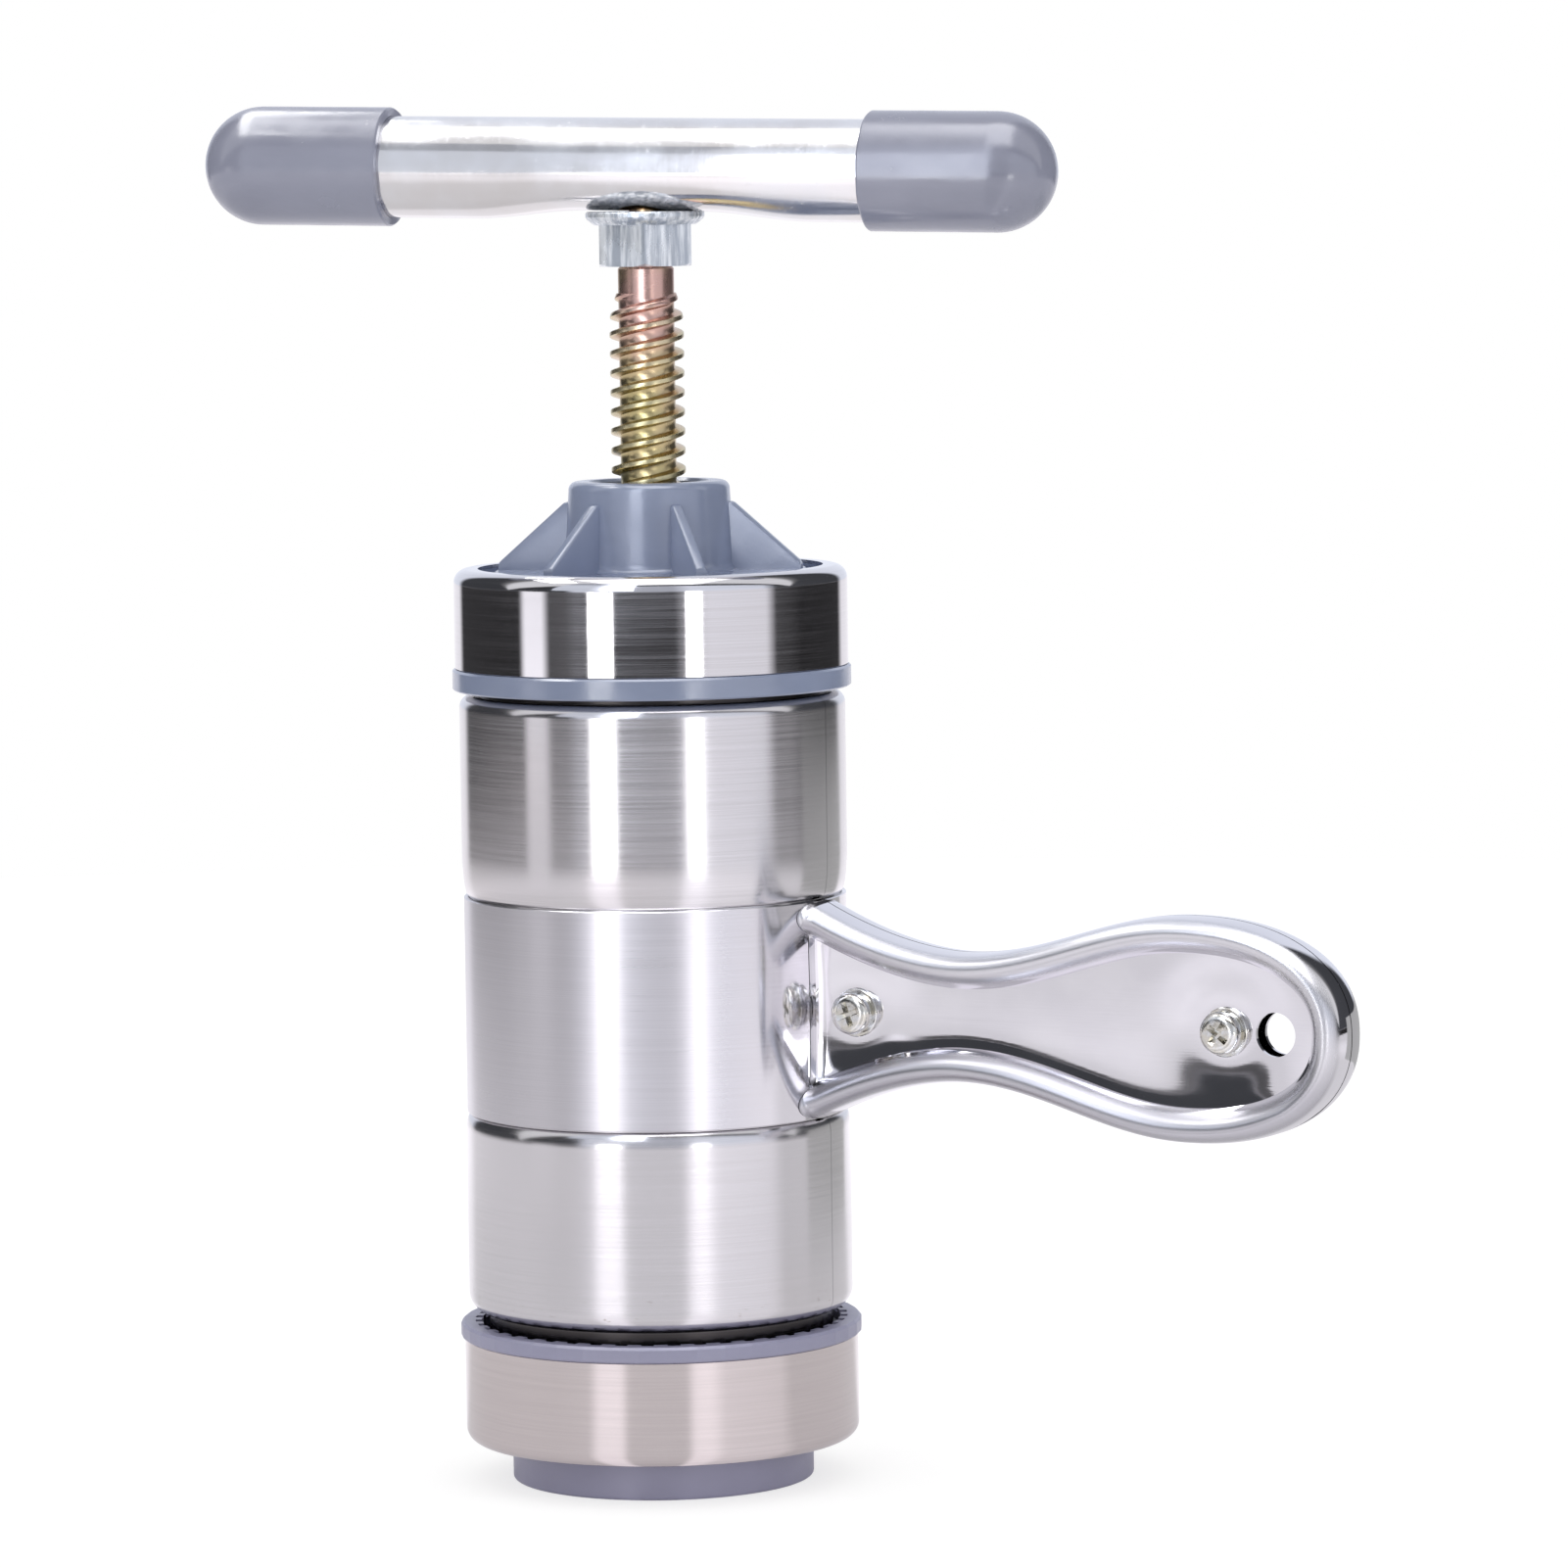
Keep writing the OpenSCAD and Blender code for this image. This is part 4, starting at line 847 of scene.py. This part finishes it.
# The bar is a length of bright steel tube, dented flat over the nut, so that its sides swell a little
# there. It shows rub marks and a smudged, slightly warm shine.
bar_z, bar_turn, bar_lean = 245.95, 14, 1.2
bar_r, bar_wall = 9.5, 1.2
bar_left, bar_right = -75.1, 67.9
dent_depth, dent_half, dent_fade = 1.7, 11.1, 22


def dent_share(x):
    """How far the dent has come in at a place along the bar."""
    away = max(0.0, min(1.0, (abs(x) - dent_half) / dent_fade))
    return 0.5 + 0.5 * math.cos(math.pi * away)


def along_bar(bm):
    """Lays a shape that was turned upright along the bar, in its own straight frame."""
    rotate(bm, 90, "Y")
    return bm


def on_screw(bm):
    """Leans and turns the bar as it sits on the screw."""
    rotate(bm, bar_lean, "Y")
    rotate(bm, bar_turn)
    move(bm, (0, 0, bar_z))
    return bm


bar_steel = Finish("bar_steel", (0.72, 0.715, 0.71), 1.0, 0.17)
smudge = bar_steel.noise((60, 60, 60), 4)
specks = bar_steel.noise((900, 900, 900), 4, 0.7)
ring_rub = bar_steel.noise((800, 50, 50), 4)
bar_steel.rough(bar_steel.math("ADD", bar_steel.between(smudge, 0.35, 0.7, 0.1, 0.22),
                              bar_steel.between(specks, 0.55, 0.75, 0.0, 0.12)))
bar_steel.paint(bar_steel.mix(bar_steel.between(smudge, 0.3, 0.7), (0.69, 0.67, 0.66), (0.75, 0.75, 0.76)))
bar_steel.bump(ring_rub, 0.006)
bar_steel.bump(specks, 0.004)
places = [bar_left + (bar_right - bar_left) * i / 96 for i in range(97)]
tube = along_bar(turned([(bar_r, x) for x in places] + [(bar_r - bar_wall, x) for x in places[::-1]], 96))
for vert in tube.verts:
    x, y, z = vert.co
    share = dent_share(x)
    depth = max(0.0, -z / bar_r)
    lift = dent_depth * share * depth ** 3
    floor_z = nut_top_z + 0.05 - bar_z + (0.0 if math.hypot(y, z) > bar_r - 0.5 else bar_wall)
    vert.co.z = max(z + lift, floor_z) if abs(x) < dent_half and depth > 0.5 else z + lift
    vert.co.y = y * (1 + 0.035 * share * (1 - depth * 0.4))
made(on_screw(tube), "bar_tube", bar_steel, "crank", "bright_steel", "handle_tube", crease=50)


# Soft plastic caps with round ends are pushed over both ends of the tube. The left one's open edge
# is cut a little unevenly.
bar_cap_r, sleeve_r = 11.15, 9.55
left_cap_len, right_cap_len = 36.8, 35.4


def bar_cap(end, length, side, wave):
    """A sleeve with a half round end, turned about the bar; side is -1 on the left."""
    mouth = bar_cap_r - length
    bm = turned([(0, bar_cap_r)] + arc(0, 0, bar_cap_r, bar_cap_r, 90, 0, 20)[1:]
                + [(bar_cap_r, -4), (bar_cap_r, -9), (bar_cap_r, -15), (bar_cap_r, mouth + 0.35),
                   (bar_cap_r - 0.3, mouth), (sleeve_r, mouth), (sleeve_r, 0), (0, 0)], 96)
    for vert in bm.verts:
        if vert.co.z < mouth + 1:
            turn = math.atan2(vert.co.y, vert.co.x)
            vert.co.z += wave * (0.5 + 0.5 * math.sin(3 * turn + 0.7) * math.cos(5 * turn))
    if side < 0:
        rotate(bm, 180, "X")
    along_bar(bm)
    move(bm, (end, 0, 0))
    return on_screw(bm)


soft_plastic = moulded("soft_cap_plastic", (0.26, 0.27, 0.35), 0.2)
made(bar_cap(bar_left, left_cap_len, -1, 0.25), "left_soft_cap", soft_plastic, "crank", "grey_plastic",
     "left_bar_cap")
made(bar_cap(bar_right, right_cap_len, 1, 0.15), "right_soft_cap", soft_plastic, "crank", "grey_plastic",
     "right_bar_cap")


# The studio: a pale floor under a soft, even light, with bright and dark screens round the press
# that only its metal shows, and a camera at eye level with the bar.
floor_reach, floor_drop = 1200, 0.02
camera_turn = -60.0
toward = Vector((math.cos(math.radians(camera_turn)), math.sin(math.radians(camera_turn)), 0))
aside = Vector((-toward.y, toward.x, 0))
softboxes = ((-28.1, 0.258), (25.5, 0.166))
softbox_away, softbox_z, softbox_h, softbox_level = 1.0, 0.02, 0.12, 5.0
card_turn, card_away, card_wide, card_z, card_h, card_bright_z = -32.0, 0.3, 0.26, 0.19, 0.44, 0.455
side_turn, side_away, side_wide, side_h, side_level = 120, 0.35, 0.3, 0.11, 0.5
top_light_wide, top_light_long, top_light_level = 0.1, 0.42, 8.0
top_light_place = (-0.226, 0.05, 0.546)
low_card_levels = ((0, 0.84), (0.48, 0.84), (0.58, 1.3), (0.68, 5), (1, 5))
high_card_levels = ((0, 0.45), (0.45, 0.5), (0.55, 1.1), (0.7, 1.1), (0.8, 4), (1, 4))
screens = ((-180, 1.0), (-150, 1.0), (-143, 0.05), (-82, 0.03), (-78, 1.4), (-66, 1.4), (-61, 0.1),
           (-42, 0.14), (-20, 0.05), (15, 0.05), (31, 0.9), (36, 1.0), (72, 0.95), (79, 0.08),
           (100, 0.02), (143, 0.04), (150, 1.0), (180, 1.0))
walls = ((-180, 0.9), (-150, 0.9), (-143, 0.06), (-50, 0.06), (-44, 0.84), (-22, 0.8), (-16, 0.6), (14, 0.55),
         (24, 0.95), (70, 0.9), (79, 0.08), (143, 0.06), (150, 0.9), (180, 0.9))
pools = ((-180, 0.62), (-150, 0.6), (-140, 0.36), (-82, 0.4), (-62, 0.4), (-42, 0.44), (-36, 0.85),
         (-23, 0.85), (-18, 0.4), (15, 0.4), (20, 0.86), (30, 0.86), (38, 0.62), (72, 0.54), (80, 0.36),
         (143, 0.36), (152, 0.62), (180, 0.62))
pool_shift, ring_levels = 18, ((0, 0), (0.35, 0), (0.5, 0.17), (0.62, 0.17), (0.8, 0), (1, 0))
height_levels = ((0, 0, 0), (0.14, 0, 0), (0.18, 1, 0), (0.4, 1, 0), (0.425, 0, 1), (1, 0, 1))
over_levels = ((0, 0, 0), (36, 0.02, 0), (40, 0.02, 1), (48, 0.02, 1), (57, 1, 1), (100, 1, 1),
               (110, 0.22, 1), (120, 0.22, 0), (180, 0, 0))
over_strength, over_sides = 4.4, ((0, 0.2), (0.32, 0.2), (0.37, 1), (0.66, 1), (0.72, 0.2), (1, 0.2))


def card_shape(wide, tall):
    """An upright card in metres, its middle at the origin."""
    shape = bmesh.new()
    bmesh.ops.create_grid(shape, x_segments=1, y_segments=1, size=0.5)
    bmesh.ops.scale(shape, vec=(tall, wide, 1), verts=shape.verts)
    rotate(shape, 90, "Y")
    return shape


def hung(shape, name):
    """Hangs a card where only polished metal shows it."""
    piece = object_of(shape, name)
    piece.visible_camera = piece.visible_diffuse = piece.visible_shadow = piece.visible_transmission = False
    return piece


def panel(name, turn, away, wide, low_z, tall):
    """An upright card at a turn from the camera, its face to the press."""
    shape = card_shape(wide, tall)
    move(shape, (away, 0, low_z + tall / 2))
    rotate(shape, camera_turn + turn)
    return hung(shape, name)


floor_shape = bmesh.new()
bmesh.ops.create_circle(floor_shape, cap_ends=True, segments=96, radius=floor_reach * MM)
move(floor_shape, (0, 0, -floor_drop * MM))
floor = object_of(floor_shape, "studio_floor")
lamps = [panel("softbox", turn, softbox_away, wide, softbox_z, softbox_h) for turn, wide in softboxes]
above = card_shape(top_light_wide, top_light_long)
rotate(above, -90)
rotate(above, 90, "X")
move(above, top_light_place)
rotate(above, bar_turn)
top_light = hung(above, "top_light")
side_card = panel("side_card", side_turn, side_away, side_wide, 0.0, side_h)
card = panel("bar_card", card_turn, card_away, card_wide, card_z, card_h)


class Glow(Wiring):
    """The nodes of a light or of the floor, which start empty."""

    def __init__(self, owner):
        super().__init__(owner)
        self.nodes.clear()

    def vector(self, kind, a, b=(0, 0, 0)):
        step = self.node("VectorMath", ((0, a), (1, b)), operation=kind)
        return step.outputs["Value" if kind in ("LENGTH", "DOT_PRODUCT") else "Vector"]

    def tint(self, level, colour):
        """A level as coloured light."""
        return self.node("VectorMath", ((0, colour), ("Scale", level)), operation="SCALE").outputs[0]

    def blend(self, share, first, second):
        """Goes from one coloured light to another."""
        return self.node("Mix", ((0, share), (4, first), (5, second)), data_type="VECTOR").outputs[1]

    def around(self, direction, levels):
        """Levels by the turn from the camera, in degrees."""
        x, y, _ = self.parts(direction)
        turn = self.math("SUBTRACT", self.math("ARCTAN2", y, x), math.radians(camera_turn))
        turn = self.math("FRACT", self.math("ADD", self.math("DIVIDE", turn, math.tau), 1.5))
        return self.ramp(turn, [((angle + 180) / 360, level) for angle, level in levels])["Color"]

    def show(self, kind, *inputs, output="OutputMaterial"):
        """Ends with a shader of this kind."""
        self.node(output, (("Surface", self.node(kind, inputs).outputs[0]),))


# Painted light: in reflections the floor glows in pools, brighter where the screens stand and in a ring just
# in front of the press; for the camera it is evenly white and keeps the press's shadow.
paper = bpy.data.materials.new("pale_floor")
ground = Glow(paper)
rays = ground.node("LightPath").outputs
before = ground.vector("SUBTRACT", ground.node("TexCoord").outputs["Object"], toward * pool_shift * MM)
lit_ring = ground.ramp(ground.vector("LENGTH", before), ring_levels)["Color"]
pool = ground.tint(ground.math("ADD", ground.around(before, pools), lit_ring), (1.04, 1.0, 1.08))
glow = ground.node("Emission", (("Color", ground.blend(rays["Is Glossy Ray"], (0.66, 0.66, 0.66), pool)),))
matt, dim_matt = (ground.node("BsdfDiffuse", (("Color", (grey, grey, grey, 1)),)) for grey in (0.8, 0.42))
both = ground.node("AddShader", ((0, dim_matt.outputs[0]), (1, glow.outputs[0])))
seen = ground.math("MAXIMUM", rays["Is Camera Ray"], rays["Is Glossy Ray"])
seen_through = ground.math("MAXIMUM", seen, rays["Is Transmission Ray"])
ground.show("MixShader", (0, seen_through), (1, matt.outputs[0]), (2, both.outputs[0]))
floor.data.materials.append(paper)

for name, level, panels in (("softbox_glow", softbox_level, lamps),
                            ("top_glow", top_light_level, [top_light]),
                            ("side_glow", side_level, [side_card])):
    lamp_look = bpy.data.materials.new(name)
    Glow(lamp_look).show("Emission", ("Strength", level))
    for piece in panels:
        piece.data.materials.append(lamp_look)

card_look = bpy.data.materials.new("bar_card_glow")
shine = Glow(card_look)
on_it = shine.node("TexCoord").outputs["Object"]
across_turn = math.radians(camera_turn + card_turn + 90)
across = shine.vector("DOT_PRODUCT", on_it, (math.cos(across_turn), math.sin(across_turn), 0))
on_card = shine.math("ADD", shine.math("DIVIDE", across, card_wide), 0.5)
low_level = shine.ramp(on_card, low_card_levels)["Color"]
high_level = shine.ramp(on_card, high_card_levels)["Color"]
is_high = shine.math("GREATER_THAN", shine.parts(on_it)["Z"], card_bright_z)
card_level = shine.node("Mix", ((0, is_high), (2, low_level), (3, high_level))).outputs[0]
shine.show("Emission", ("Color", shine.tint(card_level, (0.95, 1.0, 1.12))))
card.data.materials.append(card_look)

studio = bpy.data.worlds.new("studio")
bpy.context.scene.world = studio
studio.cycles.sampling_method = "NONE"
sky = Glow(studio)
way = sky.node("TexCoord").outputs["Generated"]
rise = sky.parts(way)["Z"]
by_height = sky.ramp(sky.math("ADD", sky.math("MULTIPLY", rise, 2.5), 0.5), height_levels)
screen_light = sky.tint(sky.around(way, screens), (1.0, 0.98, 1.03))
low_light = sky.blend(by_height["Color"], (0.92, 0.89, 0.95), screen_light)
sides = sky.blend(by_height["Alpha"], low_light, sky.tint(sky.around(way, walls), (0.96, 1.0, 1.12)))
tilt = sky.math("DIVIDE", sky.math("ARCTAN2", rise, sky.vector("DOT_PRODUCT", way, toward)), math.pi)
over = sky.ramp(tilt, [(angle / 180, level, share) for angle, level, share in over_levels])
sideways = sky.math("ADD", sky.math("MULTIPLY", sky.vector("DOT_PRODUCT", way, aside), 0.5), 0.5)
over_level = sky.math("MULTIPLY", over["Color"], sky.ramp(sideways, over_sides)["Color"])
over_light = sky.tint(sky.math("MULTIPLY", over_level, over_strength), (1.0, 1.0, 1.03))
mirrored = sky.blend(over["Alpha"], sides, over_light)
sky_rays = sky.node("LightPath").outputs
lit = sky.blend(sky_rays["Is Glossy Ray"], (1.0, 1.0, 1.0), mirrored)
plain = sky.math("MAXIMUM", sky_rays["Is Camera Ray"], sky_rays["Is Transmission Ray"])
sky.show("Background", ("Color", sky.blend(plain, lit, (1.0, 1.0, 1.0))), output="OutputWorld")

camera_look = bpy.data.cameras.new("photo_view")
camera_look.sensor_width = 36
camera_look.lens = 165.77
camera_look.clip_end = 20
camera = bpy.data.objects.new("photo_view", camera_look)
bpy.context.scene.collection.objects.link(camera)
camera_place, look_turn, look_down, look_roll = (0.6962, -1.1569, 0.2468), 30, 4.92, 0.78
camera.matrix_world = (Matrix.Translation(camera_place) @ Matrix.Rotation(math.radians(look_turn), 4, "Z")
                       @ Matrix.Rotation(math.radians(90 - look_down), 4, "X")
                       @ Matrix.Rotation(math.radians(-look_roll), 4, "Z"))
bpy.context.scene.camera = camera
bpy.context.scene.view_settings.view_transform = "Standard"
